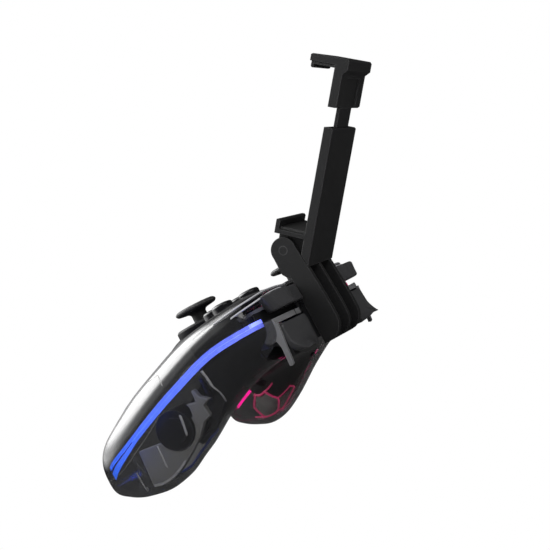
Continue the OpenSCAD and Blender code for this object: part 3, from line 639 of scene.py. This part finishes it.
def boss_tubes():
    """Tubes from the floor to the board, one profile carried round each screw."""
    tubes = []
    for x, y, z in bosses():
        low, seat = z + BOSS_FLOOR, z + BOSS_SEAT
        profile = [(BOSS_RADIUS, low), (BOSS_RADIUS, BOSS_TOP), (SHANK_RADIUS, BOSS_TOP),
                   (SHANK_RADIUS, seat), (HEAD_RADIUS, seat), (HEAD_RADIUS, low)]
        tube = lathe(profile, 40) + np.array([x, y, 0])
        tubes.append((tube.reshape(-1, 3), quads(*tube.shape[:2], True, True).tolist()))
    return joined("bosses", tubes)


for name, up, cutters, cad in (("clear_face", 1, face_cutters, "front_shell"),
                               ("clear_back", -1, back_cutters, "rear_shell")):
    shell = skins_marked(cut(shell_mesh(up), cutters()))
    piece(name, shell, SMOKED, "pad", (cad,), SHELL_CREASE)
piece("screw_bosses", boss_tubes(), SMOKED, "pad")

# Light guides along the seams of the handles, by station, with depths and heights in millimetres
GUIDE_FROM, GUIDE_PARTS, FORK_FROM, GUIDE_TO = 0.318, 0.765, 0.75, 0.925
GUIDE_DEPTH, FORK_DEPTH = (0.9, 2.6), (0.9, 2.2)
GUIDE_HALF = 1.7
FORK_SLIT, FORK_OPENS, FORK_DROPS = 0.1, 0.5, 2.0
SEAM_DIP, DIP_AT, DIP_WIDTH = 0.8, 0.57, 0.1


def seam_path(s):
    """The inner edge of the seam at stations s, and the level way from it towards the inside of the handle;
    the edge dips by a bell curve half-way down."""
    path = skin(s, 0.0, -1, WALL, tip_close(s / INNER_STEP))
    way = np.stack([along_table(INNER_X, s) - along_table(OUTER_X, s),
                    along_table(INNER_Y, s) - along_table(OUTER_Y, s), 0 * s], -1)
    path[:, 2] -= SEAM_DIP * np.exp(-((s - DIP_AT) / DIP_WIDTH) ** 2)
    return path, way / np.linalg.norm(way, axis=1, keepdims=True)


def bar_along(s, reach, low, high):
    """A bar of rounded section along the seam: reach is its depths, low and high its heights by station."""
    path, way = seam_path(s)
    unit = rounded(box_points(0, 1, 0, 1), 0.14, 4, True)
    deep = reach[0] + (reach[1] - reach[0]) * unit[None, :, :1]
    rise = low[:, None, None] + (high - low)[:, None, None] * unit[None, :, 1:]
    points = path[:, None] + way[:, None] * deep + np.array([0, 0, 1.0]) * rise
    return points.reshape(-1, 3), tube_faces(*points.shape[:2])


def guide_mesh(side, name):
    """Light guide: one bar from the shoulder down the seam, forked at the tip where the seam parts it; along
    runs from 0 at the shoulder to 1 at the tip."""
    main, fork = np.linspace(GUIDE_FROM, GUIDE_PARTS, 141), np.linspace(FORK_FROM, GUIDE_TO, 61)
    spread = (fork - fork[0]) / (fork[-1] - fork[0])
    slit = FORK_SLIT + FORK_OPENS * spread
    points, faces = merged([
        bar_along(main, GUIDE_DEPTH, 0 * main - GUIDE_HALF, 0 * main + GUIDE_HALF),
        bar_along(fork, FORK_DEPTH, -GUIDE_HALF - FORK_DROPS * spread, -slit),
        bar_along(fork, FORK_DEPTH, slit, GUIDE_HALF + FORK_OPENS * spread)])
    mesh = mesh_of(name, lay(mirrored(points, side)), faces)
    co = np.empty(len(mesh.vertices) * 3, np.float32)
    mesh.vertices.foreach_get("co", co)
    s = np.linspace(GUIDE_FROM, GUIDE_TO, 160)
    path = lay(mirrored(seam_path(s)[0], side))
    near = np.linalg.norm(co.reshape(-1, 1, 3) - path[None], axis=2).argmin(1)
    marked(mesh, "along", "POINT", (s[near] - s[0]) / (s[-1] - s[0]))
    return mesh


piece("glow_right", guide_mesh(1, "glow_right"), BLUE, "pad", ("light_right",))
piece("glow_left", guide_mesh(-1, "glow_left"), ROSE, "pad", ("light_left",))

# Painted shade: a black sheet inside each shoulder by station and angle across, and black sheets at the
# trigger window and behind the bumper as front views
SHADE_SHEET_FROM, SHADE_SHEET_RUN, SHADE_SHEET_SLANT, SLANT_TO = 0.17, 0.352, 0.25, 0.32
SHADE_SHEET_EDGE, SHADE_SHEET_LOW_EDGE = 0.025, np.pi - 0.12
SKIRT_FROM, SKIRT_TO, SKIRT_EDGE = 0.385, 0.52, 0.42
SHADE_SHEET_INSETS, SKIRT_INSETS = (WALL + 1.0, WALL + 1.5), (WALL + 0.3, WALL + 0.8)
SHADE_SHEET_WINDOW = box_points(-57, 57, 26.5, BEYOND)
SHADE_SHEET_WINDOW_Z = (-45, -4.5)
WELL_SHADE = np.array([(20, -24.5), (57, -22.8), (57.4, -25.2), (56, -26.1), (53, -27.2), (50, -27.8), (45, -28.4),
                (40, -28.8), (35, -28.9), (30, -28.6), (27, -28.4), (20, -28.1)])
WELL_SHADE_Y = (26.2, 26.9)
BUMPER_SHADE = np.array([(17.7, -13.2), (59, -13.2), (59, -8), (17.7, -8)])
BUMPER_SHADE_Y = (31.5, 32.0)


def shade_sheet_mesh(side):
    """Painted shade between the shoulder and the handle, as a black sheet: the back's inner skin at two
    insets, over stations that run to a slanted end line, with the trigger window left open, and a skirt of
    the same behind the face's side wall."""
    a = crowded(SHADE_SHEET_EDGE, SHADE_SHEET_LOW_EDGE, 46)
    s = SHADE_SHEET_FROM + (SHADE_SHEET_RUN - SHADE_SHEET_SLANT * np.minimum(a, SLANT_TO)) * np.linspace(0, 1, 41)[:, None]
    back = slab(*(skin(s, a, -1, inset) for inset in SHADE_SHEET_INSETS))
    a = crowded(SHADE_SHEET_EDGE, SKIRT_EDGE, 16)
    s = np.linspace(SKIRT_FROM, SKIRT_TO, 25)[:, None]
    skirt = slab(*(skin(s, a, 1, inset) for inset in SKIRT_INSETS))
    mesh = joined("shade_sheet", [(mirrored(p, side).reshape(-1, 3), f) for p, f in (back, skirt)])
    return cut(mesh, [prism(SHADE_SHEET_WINDOW, *SHADE_SHEET_WINDOW_Z)])


for hand, side in SIDES.items():
    piece("lining_" + hand, shade_sheet_mesh(side), SHADE_BLACK, "pad")
    for name, view, y_range in (("trigger_well_shade_", WELL_SHADE, WELL_SHADE_Y), ("bumper_shade_wall_", BUMPER_SHADE, BUMPER_SHADE_Y)):
        wall = prism(view * np.array([side, 1]), *y_range, front_view)
        piece(name + hand, wall, SHADE_BLACK, "pad")

# Moulded cells on the inner wall of each handle with a painted glow, ribs, and bright lines in painted
# highlight: corners as stations and shares across
CELL = [(0.413, 0.972), (0.345, 0.925), (0.413, 0.82), (0.571, 0.725), (0.655, 0.81), (0.576, 0.945)]
SPOKES = [((0.413, 0.82), (0.4, 0.7)), ((0.571, 0.725), (0.6, 0.62)), ((0.4, 0.7), (0.49, 0.58)),
          ((0.345, 0.925), (0.3, 0.86)), ((0.655, 0.81), (0.74, 0.82)), ((0.49, 0.58), (0.6, 0.62))]
CELL_BAR, CELL_INSETS = 0.8, (WALL + 0.1, WALL + 0.9)
SPOKE_BAR, SPOKE_INSETS = 0.7, (WALL + 0.1, WALL + 0.8)
PLATE_DEEP, PLATE_NEAR = 0.94, 0.5
RIBS = ((0.615, 0.03, 0.12, 1.6), (0.705, 0.03, 0.14, 1.6), (0.8, 0.05, 0.6, 1.2))
RIB_HALF = 0.0016
SHADE_SHEET_END = [(0.522, 0.0035), (0.516, 0.02), (0.507, 0.066), (0.48, 0.16), (0.446, 0.306)]
END_BAR, END_INSETS = 0.55, (WALL + 0.1, WALL + 1.5)
GLINT_LINE = np.array([(-23.4, -48.6), (-26, -50.1), (-30, -51.8), (-34, -52.8), (-38, -53.1), (-42.2, -52.3)])
GLINT_WIDTH, GLINT_X, GLINT_CREASE = 0.9, (64.02, 64.6), 20
FACE_GLINT_RUNS = [((0.1, 0.035), (0.3, 0.035)), ((0.3, 0.035), (0.45, 0.036)), ((0.17, 0.012), (0.36, 0.011)),
             ((0.36, 0.011), (0.41, 0.011))]
GRIP_RUNS = [((0.618, 0.091), (0.642, 0.141)), ((0.642, 0.141), (0.743, 0.374)),
             ((0.618, 0.091), (0.627, 0.0126))]


def rib(station, a0, a1, depth, side):
    """A thin rib across the handle's floor at a station: a four-cornered section carried from a0 to a1."""
    a = np.linspace(a0, a1, 33)
    foot, top = WALL + 0.1, WALL + depth
    corners = [(-RIB_HALF, foot), (RIB_HALF, foot), (RIB_HALF, top), (-RIB_HALF, top)]
    points = np.stack([skin(np.full_like(a, station + off), a, -1, inset) for off, inset in corners], 1)
    return mirrored(points, side).reshape(-1, 3), tube_faces(*points.shape[:2])


def skin_bar(start_at, end_at, width, insets, side, up=-1, steps=13):
    """A bar along a skin from one place (station, share across) to another: at each step, its half width is
    laid off across the way, and its depth between two insets."""
    t = np.linspace(0, 1, steps)
    s = start_at[0] + (end_at[0] - start_at[0]) * t
    a = start_at[1] + (end_at[1] - start_at[1]) * t
    near, deep = (skin(s, a, up, inset) for inset in insets)
    off = np.cross(np.gradient(near, axis=0), deep - near)
    off = off / np.linalg.norm(off, axis=1, keepdims=True) * width / 2
    points = np.stack([near - off, near + off, deep + off, deep - off], 1)
    return mirrored(points, side).reshape(-1, 3), tube_faces(*points.shape[:2])


def cell_face(side):
    """Floor of a cell: its corners, as stations and shares, shrunk to their middle in rings, two insets."""
    rim, mid = np.array(CELL), np.mean(CELL, 0)
    along_side = np.linspace(0, 1, 6, endpoint=False)[:, None]
    rim = (rim[:, None] + (np.roll(rim, -1, 0) - rim)[:, None] * along_side).reshape(-1, 2)
    share = np.array([0, 0.3, 0.6, 0.9, 0.9, 0.6, 0.3, 0])[:, None]
    deep = np.repeat([PLATE_DEEP, PLATE_NEAR], 4)[:, None]
    s, a = (mid[k] + share * (rim[:, k] - mid[k])[None] for k in (0, 1))
    points = mirrored(skin(s, a, -1, WALL + np.broadcast_to(deep, s.shape)), side)
    return mesh_of("cell_face", lay(points), quads(*s.shape, wrap_cols=True).tolist())


def bracket_edge_glint(side):
    """A painted highlight, a narrow band along a side-view line where the bracket's edge catches light: the
    line moved half the width to each side, drawn along x.
    """
    way = np.gradient(GLINT_LINE, axis=0)
    off = np.stack([-way[:, 1], way[:, 0]], 1) / np.linalg.norm(way, axis=1, keepdims=True) * GLINT_WIDTH / 2
    outline = np.concatenate([GLINT_LINE + off, (GLINT_LINE - off)[::-1]])
    return prism(outline, side * GLINT_X[0], side * GLINT_X[1], side_view)


for (hand, side), slot in zip(SIDES.items(), ("light_blue", "light_magenta")):
    piece("cell_face_" + hand, cell_face(side), PLATE, "pad")
    bars = [skin_bar(p, q, CELL_BAR, CELL_INSETS, side) for p, q in zip(CELL, CELL[1:] + CELL[:1])]
    bars += [skin_bar(p, q, SPOKE_BAR, SPOKE_INSETS, side) for p, q in SPOKES]
    piece("cells_" + hand, joined("cells_" + hand, bars), CELL_GLOW[hand], "pad")

for hand, side in SIDES.items():
    piece("bracket_edge_glint_" + hand, bracket_edge_glint(side), RIB_GLINT, "pad", angle=GLINT_CREASE)

# Ribs, and bars along the end of the shade sheet, in the light grey of a painted highlight.
ribs = [rib(*measures, side) for side in SIDES.values() for measures in RIBS]
ribs += [skin_bar(p, q, END_BAR, END_INSETS, side)
         for side in SIDES.values() for p, q in zip(SHADE_SHEET_END, SHADE_SHEET_END[1:])]
piece("inner_ribs", joined("inner_ribs", ribs), RIB_GLINT, "pad")

# Painted highlights along the bright edges of the face above the shoulders, as thin light grey bars, and the
# hairline of the grip on each handle
for name, runs, material, insets, width in (("face_edge_glint", FACE_GLINT_RUNS, FACE_GLINT, (0.1, -0.45), 0.45),
                                            ("grip_line", GRIP_RUNS, BRACKET, (0.1, -0.06), 0.3)):
    bars = [skin_bar(p, q, width, insets, side, 1, 41) for side in SIDES.values() for p, q in runs]
    piece(name, joined(name, bars), material, "pad")

# Plugs over the hinge pin, and chips on the board as place, width, depth and height
PLUG_X, PLUG_RADIUS, PLUG_TAPER, PLUG_SEGMENTS = (15.72, 16.02), 2.1, 0.4, 48
BOARD_TOP = -18
CHIP_CHAMFER = 0.12
CHIPS = ((0, -9, 7, 7, 1), (-2, 19, 5, 4, 0.9), (30, 4, 3.2, 1.6, 0.8), (-29, 6, 3.2, 1.6, 0.8),
         (33, -2, 2, 1.2, 0.7), (-33, -1, 2, 1.2, 0.7), (8, -13, 3.2, 2.5, 1.4), (-8, -13, 2, 1.2, 0.7),
         (22, 18, 4, 4, 1), (-22, 18, 3, 3, 1), (45, 4, 3, 1.5, 0.8), (47, 12, 1.6, 3.2, 0.8),
         (-27, 14, 1.6, 3.2, 0.8), (6, 20, 2, 1.2, 0.7))


def plug(side):
    """A short round plug over one end of the hinge pin, with a tapered rim."""
    low, high = (side * x for x in PLUG_X)
    profile = [(0, low), (PLUG_RADIUS - PLUG_TAPER, low), (PLUG_RADIUS, high), (0, high)]
    points = lathe(profile, PLUG_SEGMENTS).reshape(-1, 3) + np.array([*HINGE, 0])
    return side_view(points), quads(PLUG_SEGMENTS, len(profile), True).tolist()


def chip(x, y, width, depth, height):
    """A chip on the board: two rings of corners of its walls, and a lid set in by a chamfer."""
    def ring(inset, z):
        w, d = width / 2 - inset, depth / 2 - inset
        return np.concatenate([box_points(x - w, x + w, y - d, y + d), np.full((4, 1), BOARD_TOP + z)], 1)
    return np.concatenate([ring(0, 0), ring(0, 0.8 * height), ring(CHIP_CHAMFER, height)]), tube_faces(3, 4)


plugs = [plug(side) for side in SIDES.values()]
piece("pin_plugs", joined("pin_plugs", plugs), SATIN, "pad")
piece("board_chips", joined("board_chips", [chip(*c) for c in CHIPS]), MOTOR, "pad")

# Thumb sticks, collars and buttons, with heights from the face's own plane
CAP_R = 9.8
CAP = [(0, 8.6), (CAP_R - 6, 8.8), (CAP_R - 3, 9.4), (CAP_R - 1.7, 10), (CAP_R - 0.7, 9.8), (CAP_R, 9.1),
       (CAP_R, 8.2), (CAP_R - 0.7, 7.5), (4.5, 6.8), (3.55, 6.0), (3.4, 1.95)]
DOME, DOME_INSIDE, BALL = 11.5, 10.3, 3.6
STICK_PROFILE = np.concatenate([rounded(CAP, 0.55, 5)[:-1], arc(DOME, STICK_Z, 1.92, -6.0),
                                arc(DOME_INSIDE, STICK_Z, -6.0, 0.96), [(2.6, 0.96), (2.6, -6.5)],
                                arc(BALL, STICK_Z, -6.52, -12.6)])
KNURL_RIDGES, KNURL_HEIGHT, KNURL_Z, KNURL_FADE = 64, 0.13, 8.65, 0.6
COLLAR_PROFILE = rounded([(9.8, -2.2), (13, -2.2), (13, 1.1), (12.1, 2.0), (10.5, 2.0), (9.8, 1.2)],
                         0.35, 5, True)
FLANGE, FLANGE_LOW, FLANGE_TOP = 0.9, -4.6, -3.5
ACTION_KEY, MENU_KEY, HOME_KEY = (4.8, 2.6), (2.6, 0.9), (4.4, 0.9)


def turned(name, profile, centre, material, body, replaces, segments=SEGMENTS, ripple=None):
    """A turned piece: profile carried round z, laid at its place on the pad."""
    points = lathe(profile, segments, ripple) + np.array([*centre, 0])
    mesh = mesh_of(name, lay(points), quads(*points.shape[:2], True).tolist())
    return piece(name, mesh, material, body, replaces)


def knurl(t, r, z):
    """Fine ridges round the rim of the cap, fading above and below it."""
    fade = np.exp(-((z - KNURL_Z) / KNURL_FADE) ** 2)
    return KNURL_HEIGHT * np.cos(KNURL_RIDGES * t) * fade * (r > CAP_R - 0.6)


def key_profile(r, top):
    """Crowned button with a flange under the shell."""
    return rounded([(0, FLANGE_LOW), (r + FLANGE, FLANGE_LOW), (r + FLANGE, FLANGE_TOP), (r, FLANGE_TOP),
                    (r, top - 0.8), (r - 0.35, top - 0.25), (r - 1, top), (r / 2, top + 0.25),
                    (0, top + 0.35)], 0.3, 5)


for hand, place in STICKS.items():
    turned("thumb_stick_" + hand, STICK_PROFILE, place, RUBBER, "thumb_" + hand,
           ("stick_" + hand,), segments=256, ripple=knurl)
collars = [((lathe(COLLAR_PROFILE) + np.array([*place, 0])).reshape(-1, 3),
            quads(SEGMENTS, len(COLLAR_PROFILE), True, True).tolist()) for place in STICKS.values()]
piece("collars", joined("collars", collars), COLLAR, "pad", ("stick_collars",))
for key, place in KEYS.items():
    turned("key_cap_" + key, key_profile(*ACTION_KEY), place, GLOSS, "key_" + key,
           ("button_" + key,))
for hand, place in MENU.items():
    turned("key_cap_menu_" + hand, key_profile(*MENU_KEY), place, GLOSS, "key_menu_" + hand,
           ("menu_" + hand,), segments=64)
turned("key_cap_home", key_profile(*HOME_KEY), HOME, GLOSS, "key_home", ("home_button",))

# Bumpers as plans low down and at the top, and triggers as a front view and the side view of their arm
BUMPER_LOW = np.array([(18.6, 34.2), (50, 34.2), (52.6, 38), (51.4, 42.2), (44.5, 44.8), (38.5, 44),
                       (33, 40.2), (18.6, 39.6)])
BUMPER_HIGH = np.array([(18.6, 34.2), (54.5, 34.2), (57.2, 38), (55.4, 41.4), (46.3, 44.2), (39.5, 43.4),
                        (33.5, 39.6), (18.6, 39)])
BUMPER_MID = np.array([36, 38])
BUMPER_Z0, BUMPER_Z1 = -10.6, -3.0
BUMPER_EDGE, BUMPER_CORNER, BUMPER_CREASE = 0.9, 1.6, 14
PIN_BORE, PIN_X, PIN_Y, PIN_Z = 1.3, 21.5, 36, (-14, -7)
TRIGGER = [(29.4, -16.5), (53.9, -16.5), (53.9, -26.2), (50.8, -29.4), (43.5, -31.3), (38.4, -31.9),
           (31, -31.7), (29.4, -30)]
TRIGGER_MID = np.array([41.0, -23.5])
TRIGGER_CORNER, TRIGGER_EDGE = 2.4, 0.8
TRIGGER_BACK, TRIGGER_FRONT = 37.9, 41.2
BEND_X, BEND_SLOPE = 36, 0.05
FLARE, FLARE_TOP, FLARE_DROP, FLARE_X, FLARE_RUN = 4.8, -19, 11, 32, 14
TIP_SINK, SINK_X, SINK_RUN = 0.52, 43, 7
ARM = rounded([(38.1, -17.0), (38.1, -31.0), (36.2, -29.0), (34.6, -25.4), (30.2, -22.4), (28.9, -19.5),
               (30.2, -17.0)], 0.9, 5, True)
ARM_X = (29.8, 52.9)
AXLE_BORE = ring_points(1.28, (32, -19.5), 40)
AXLE_X = (20, 60)
QUARTER = np.radians(np.linspace(0, 90, 6))


def bumper_mesh(side):
    """Bumper: a plan of eight rounded corners carried up between a low and a high form, its outer end cut
    back low down, set in along quarter rounds at the bottom and the top, and bored for the frame's pin."""
    lift = BUMPER_EDGE * (1 - np.cos(QUARTER))
    inset = BUMPER_EDGE * (1 - np.sin(QUARTER))
    rings = []
    for z, inward in zip([*(BUMPER_Z0 + lift), *(BUMPER_Z1 - lift[::-1])], [*inset, *inset[::-1]]):
        plan = BUMPER_LOW + (BUMPER_HIGH - BUMPER_LOW) * (z - BUMPER_Z0) / (BUMPER_Z1 - BUMPER_Z0)
        plan = rounded(plan - np.sign(plan - BUMPER_MID) * inward, BUMPER_CORNER, 9, True)
        rings.append(np.concatenate([plan, np.full((len(plan), 1), z)], 1))
    points = mirrored(np.array(rings), side)
    mesh = mesh_of("bumper", lay(points), tube_faces(*points.shape[:2]))
    return cut(mesh, [prism(ring_points(PIN_BORE, (side * PIN_X, PIN_Y), 32), *PIN_Z)])


def trigger_face(side):
    """Front of a trigger: rings of one rounded outline in x and z, from the middle of its back out to the
    rim, over a quarter round, and in to the middle of a front that bends back. Its lower outer part flares
    forward by the cube of its drop, and rises with the table as it does, less at the outer corner."""
    outline = rounded(TRIGGER, TRIGGER_CORNER, 9, True)
    share = np.concatenate([[0, 1], 1 - 0.06 * (1 - np.cos(QUARTER)), [0.7, 0.45, 0.2, 0]])[:, None, None]
    edge = np.concatenate([[0, 0], TRIGGER_EDGE * (1 - np.sin(QUARTER)), [0, 0, 0, 0]])[:, None]
    flat = TRIGGER_MID + share * (outline - TRIGGER_MID)[None]
    x, z = flat[..., 0], flat[..., 1]
    drop, outwards = (FLARE_TOP - z) / FLARE_DROP, (x - FLARE_X) / FLARE_RUN
    flare = FLARE * np.clip(drop, 0, 1) ** 3 * np.clip(outwards, 0, 1)
    flare[:2] = 0
    rise = np.tan(REST_TILT) - TIP_SINK * np.clip((x - SINK_X) / SINK_RUN, 0, 1)
    over = x - BEND_X
    y = TRIGGER_FRONT - BEND_SLOPE * (over + np.sqrt(over ** 2 + 3)) - edge + flare
    y[:2] = TRIGGER_BACK
    points = np.stack([side * x, y, z + rise * flare], -1)
    return mesh_of("trigger_face", lay(points), quads(*points.shape[:2], wrap_cols=True).tolist())


def trigger_arm(side):
    """Arm of a trigger: a side view drawn along x from its back to the axle, and bored for it."""
    arm = prism(ARM, side * ARM_X[0], side * ARM_X[1], side_view)
    return cut(arm, [prism(AXLE_BORE, side * AXLE_X[0], side * AXLE_X[1], side_view)])


for hand, side in SIDES.items():
    piece("bumper_bar_" + hand, bumper_mesh(side), GREY_GLOSS, "bumper_" + hand,
          ("bumper_" + hand,), BUMPER_CREASE)
for hand, side in SIDES.items():
    piece("trigger_face_" + hand, trigger_face(side), GREY_GLOSS, "trigger_" + hand,
          ("trigger_" + hand,))
    # The arm is black as painted shade on the trigger's rear and underside.
    piece("trigger_arm_" + hand, trigger_arm(side), SHADE_BLACK, "trigger_" + hand)

# CAD solids with their edges rounded
for cad, radius, material, body, slot in (
        ("dpad", 0.45, GLOSS, "dpad", "black_gloss"),
        ("shoulder_frame", 0.25, FRAME_GREY, "pad", "frame_grey"),
        ("cradles", 0.3, BRACKET, "pad", "bracket_grey"),
        ("saddle", 0.4, SATIN, "pad", "black_satin"),
        ("stem", 0.4, SATIN, "clip_stem", "black_satin"),
        ("upper_jaw", 0.35, SATIN, "clip_jaw", "black_satin"),
        ("jaw_pad_upper", 0.3, RUBBER, "clip_jaw", "black_rubber"),
        ("jaw_pad_lower", 0.3, RUBBER, "clip_stem", "black_rubber"),
        ("back_pad", 0.4, RUBBER, "clip_stem", "black_rubber")):
    piece("soft_" + cad, softened(cad, radius), material, body, (cad,), None)

# CAD solids that stay as they are, with a finish
for names, material in (
        (("circuit_board",), BOARD), (("battery",), FOIL), (("motor_right", "motor_left"), MOTOR),
        (("weight_right", "weight_left", "ring_right", "ring_left", "dpad_pivot", "usb_socket", "case_screws",
          "saddle_screws", "hinge_pin"), STEEL),
        (("stick_modules", "dpad_base"), SATIN), (("button_mats",), SILICONE)):
    for n in names:
        nodes[n].data.materials.clear()
        nodes[n].data.materials.append(material)

# Studio, in metres: the photograph's camera, a card for the gloss, soft lamps, a pale floor
FOCUS = np.array([0.03, -0.03, 0.05])
CAMERA_RIGHT, CAMERA_UP = (-0.3604, 0.62747, -0.69022), (-0.126, 0.70045, 0.70253)
CAMERA_BACK, CAMERA_AT = (0.9243, 0.34019, -0.17339), (0.5118, 0.18831, -0.05491)
LENS, SENSOR, CLIP = 79.85, 36.0, (0.02, 20)
CARD_DISTANCE = 1.5
CARD_LIGHT, CARD_SOFTNESS = 9.5, 3.6
STEP_MIDDLE = ([-160, -140, -120, -60, -45, -30, -10, 0, 10, 25], [56, 49, 44, 42, 43, 48, 53, 57, 67, 82])
SKIRT_LIGHT = ([-150, -125, -105, -60, -45, -10], [1.5, 1.0, 2.6, 2.6, 0.7, 0.5])
SKIRT_STARTS, TOP_FADE = ([16, 24], [0, 1]), ([74, 86], [1, 0.3])
SIDE_FADE = ([-160, -135, 10, 35], [0.1, 1, 1, 0])
CEILING_LIGHT, CEILING_FROM, CEILING_SOFTNESS = 2.3, 62, 3
ROOM_LIGHT, ROOM_IN_GLOSS = 0.34, 0.06
FLOOR_HALF, FLOOR_Z = 4, -0.0002
WHITE = (1, 1, 1, 1)


def placed(x, y, z, place):
    """Matrix of an object by its three axes and its place."""
    return Matrix([*zip(x, y, z, place), (0, 0, 0, 1)])


def lamp(name, towards, across, distance, size, radiance):
    """A rectangular lamp at a distance along a direction, its width along across, facing the object; its
    power is the radiance times its area times pi."""
    z = np.asarray(towards, float) / np.linalg.norm(towards)
    x = np.asarray(across, float) - np.dot(across, z) * z
    x /= np.linalg.norm(x)
    data = bpy.data.lights.new(name, "AREA")
    data.shape, data.size, data.size_y = "RECTANGLE", *size
    data.energy = radiance * size[0] * size[1] * np.pi
    obj = linked(name, data)
    obj.matrix_world = placed(x, np.cross(z, x), z, FOCUS + z * distance)
    obj.visible_camera = False
    return obj


def card_level(az, el):
    """Light of the card by bearing and elevation: a soft step whose middle depends on the bearing, over a
    weak skirt below the step, fading at the top and past both sides to a weaker ceiling."""
    step = 1 / (1 + np.exp((np.interp(az, *STEP_MIDDLE) - el) / CARD_SOFTNESS))
    skirt = np.interp(az, *SKIRT_LIGHT) * (1 - step) * np.interp(el, *SKIRT_STARTS)
    level = (CARD_LIGHT * step + skirt) * np.interp(el, *TOP_FADE) * np.interp(az, *SIDE_FADE)
    return np.maximum(level, CEILING_LIGHT / (1 + np.exp((CEILING_FROM - el) / CEILING_SOFTNESS)))


def overhead_card():
    """A curved card for the gloss alone: a grid of bearings and elevations on a sphere round the object,
    with its light as a point attribute."""
    az, el = np.meshgrid(np.linspace(-180, 180, 181), np.linspace(14, 89.5, 77), indexing="ij")
    a, e = np.radians(az), np.radians(el)
    points = np.stack([np.cos(e) * np.cos(a), np.cos(e) * np.sin(a), np.sin(e)], -1) * CARD_DISTANCE + FOCUS
    mesh = bpy.data.meshes.new("overhead_card")
    mesh.from_pydata(points.reshape(-1, 3).tolist(), [], quads(*az.shape).tolist())
    marked(mesh, "level", "POINT", card_level(az, el))
    mat, tree, out = blank("overhead_card")
    amount = node(tree, "ShaderNodeAttribute", attribute_name="level").outputs["Fac"]
    feed(tree, out, {0: node(tree, "ShaderNodeEmission", {"Strength": amount}).outputs[0]})
    mesh.materials.append(mat)
    obj = linked("overhead_card", mesh)
    obj.visible_camera = obj.visible_diffuse = obj.visible_shadow = obj.visible_transmission = False


def studio_world():
    """White paper for the camera, and for all other rays a dim room, dimmer still in the gloss."""
    world = bpy.data.worlds.new("studio")
    world.use_nodes = True
    sky = world.node_tree
    sky.nodes.clear()
    ray = node(sky, "ShaderNodeLightPath").outputs
    paper = node(sky, "ShaderNodeBackground", {0: WHITE, 1: 1.0})
    dim = ramp(sky, ray["Is Glossy Ray"], ROOM_LIGHT, ROOM_IN_GLOSS)
    room = node(sky, "ShaderNodeBackground", {0: WHITE, 1: dim})
    choose = node(sky, "ShaderNodeMixShader",
                  {0: ray["Is Camera Ray"], 1: room.outputs[0], 2: paper.outputs[0]})
    node(sky, "ShaderNodeOutputWorld", {0: choose.outputs[0]})
    return world


def pale_floor():
    """Matt paper seen from above; its underside lets the view through to a camera below it."""
    mat, tree, bsdf, place = start("pale_floor")
    tone = blend(tree, noise(tree, place, 60.0, 5.0), (0.76, 0.76, 0.77, 1), (0.82, 0.82, 0.82, 1))
    feed(tree, bsdf, {"Base Color": tone, "Roughness": 0.9, "Specular IOR Level": 0.1})
    out = bsdf.outputs[0].links[0].to_node
    clear, geo = node(tree, "ShaderNodeBsdfTransparent"), node(tree, "ShaderNodeNewGeometry")
    pick = node(tree, "ShaderNodeMixShader",
                {0: geo.outputs["Backfacing"], 1: bsdf.outputs[0], 2: clear.outputs[0]})
    feed(tree, out, {0: pick.outputs[0]})
    return mat


camera = linked("camera", bpy.data.cameras.new("camera"))
camera.data.lens, camera.data.sensor_width = LENS, SENSOR
camera.data.clip_start, camera.data.clip_end = CLIP
camera.matrix_world = placed(CAMERA_RIGHT, CAMERA_UP, CAMERA_BACK, CAMERA_AT)
scene.camera = camera

overhead_card()
lamp("soft_top", (0.1, 0.1, 1.0), (1, 0, 0), 1.4, (1.6, 1.6), 1.6)
lamp("side_fill", (0.4, 1.0, 0.3), (0, 0, 1), 1.3, (0.7, 1.0), 2.0)
lamp("front_fill", (0.9, 0.35, 0.12), (0, 0, 1), 1.4, (0.8, 0.8), 3.0).visible_glossy = False
scene.world = studio_world()

floor_mesh = bpy.data.meshes.new("floor")
corners = box_points(-FLOOR_HALF, FLOOR_HALF, -FLOOR_HALF, FLOOR_HALF)
floor_mesh.from_pydata([(x, y, FLOOR_Z) for x, y in corners], [], [(0, 1, 2, 3)])
floor_mesh.materials.append(pale_floor())
floor = linked("floor", floor_mesh)
floor.visible_glossy = False

scene.view_settings.view_transform = "Standard"
scene.view_settings.look = "None"
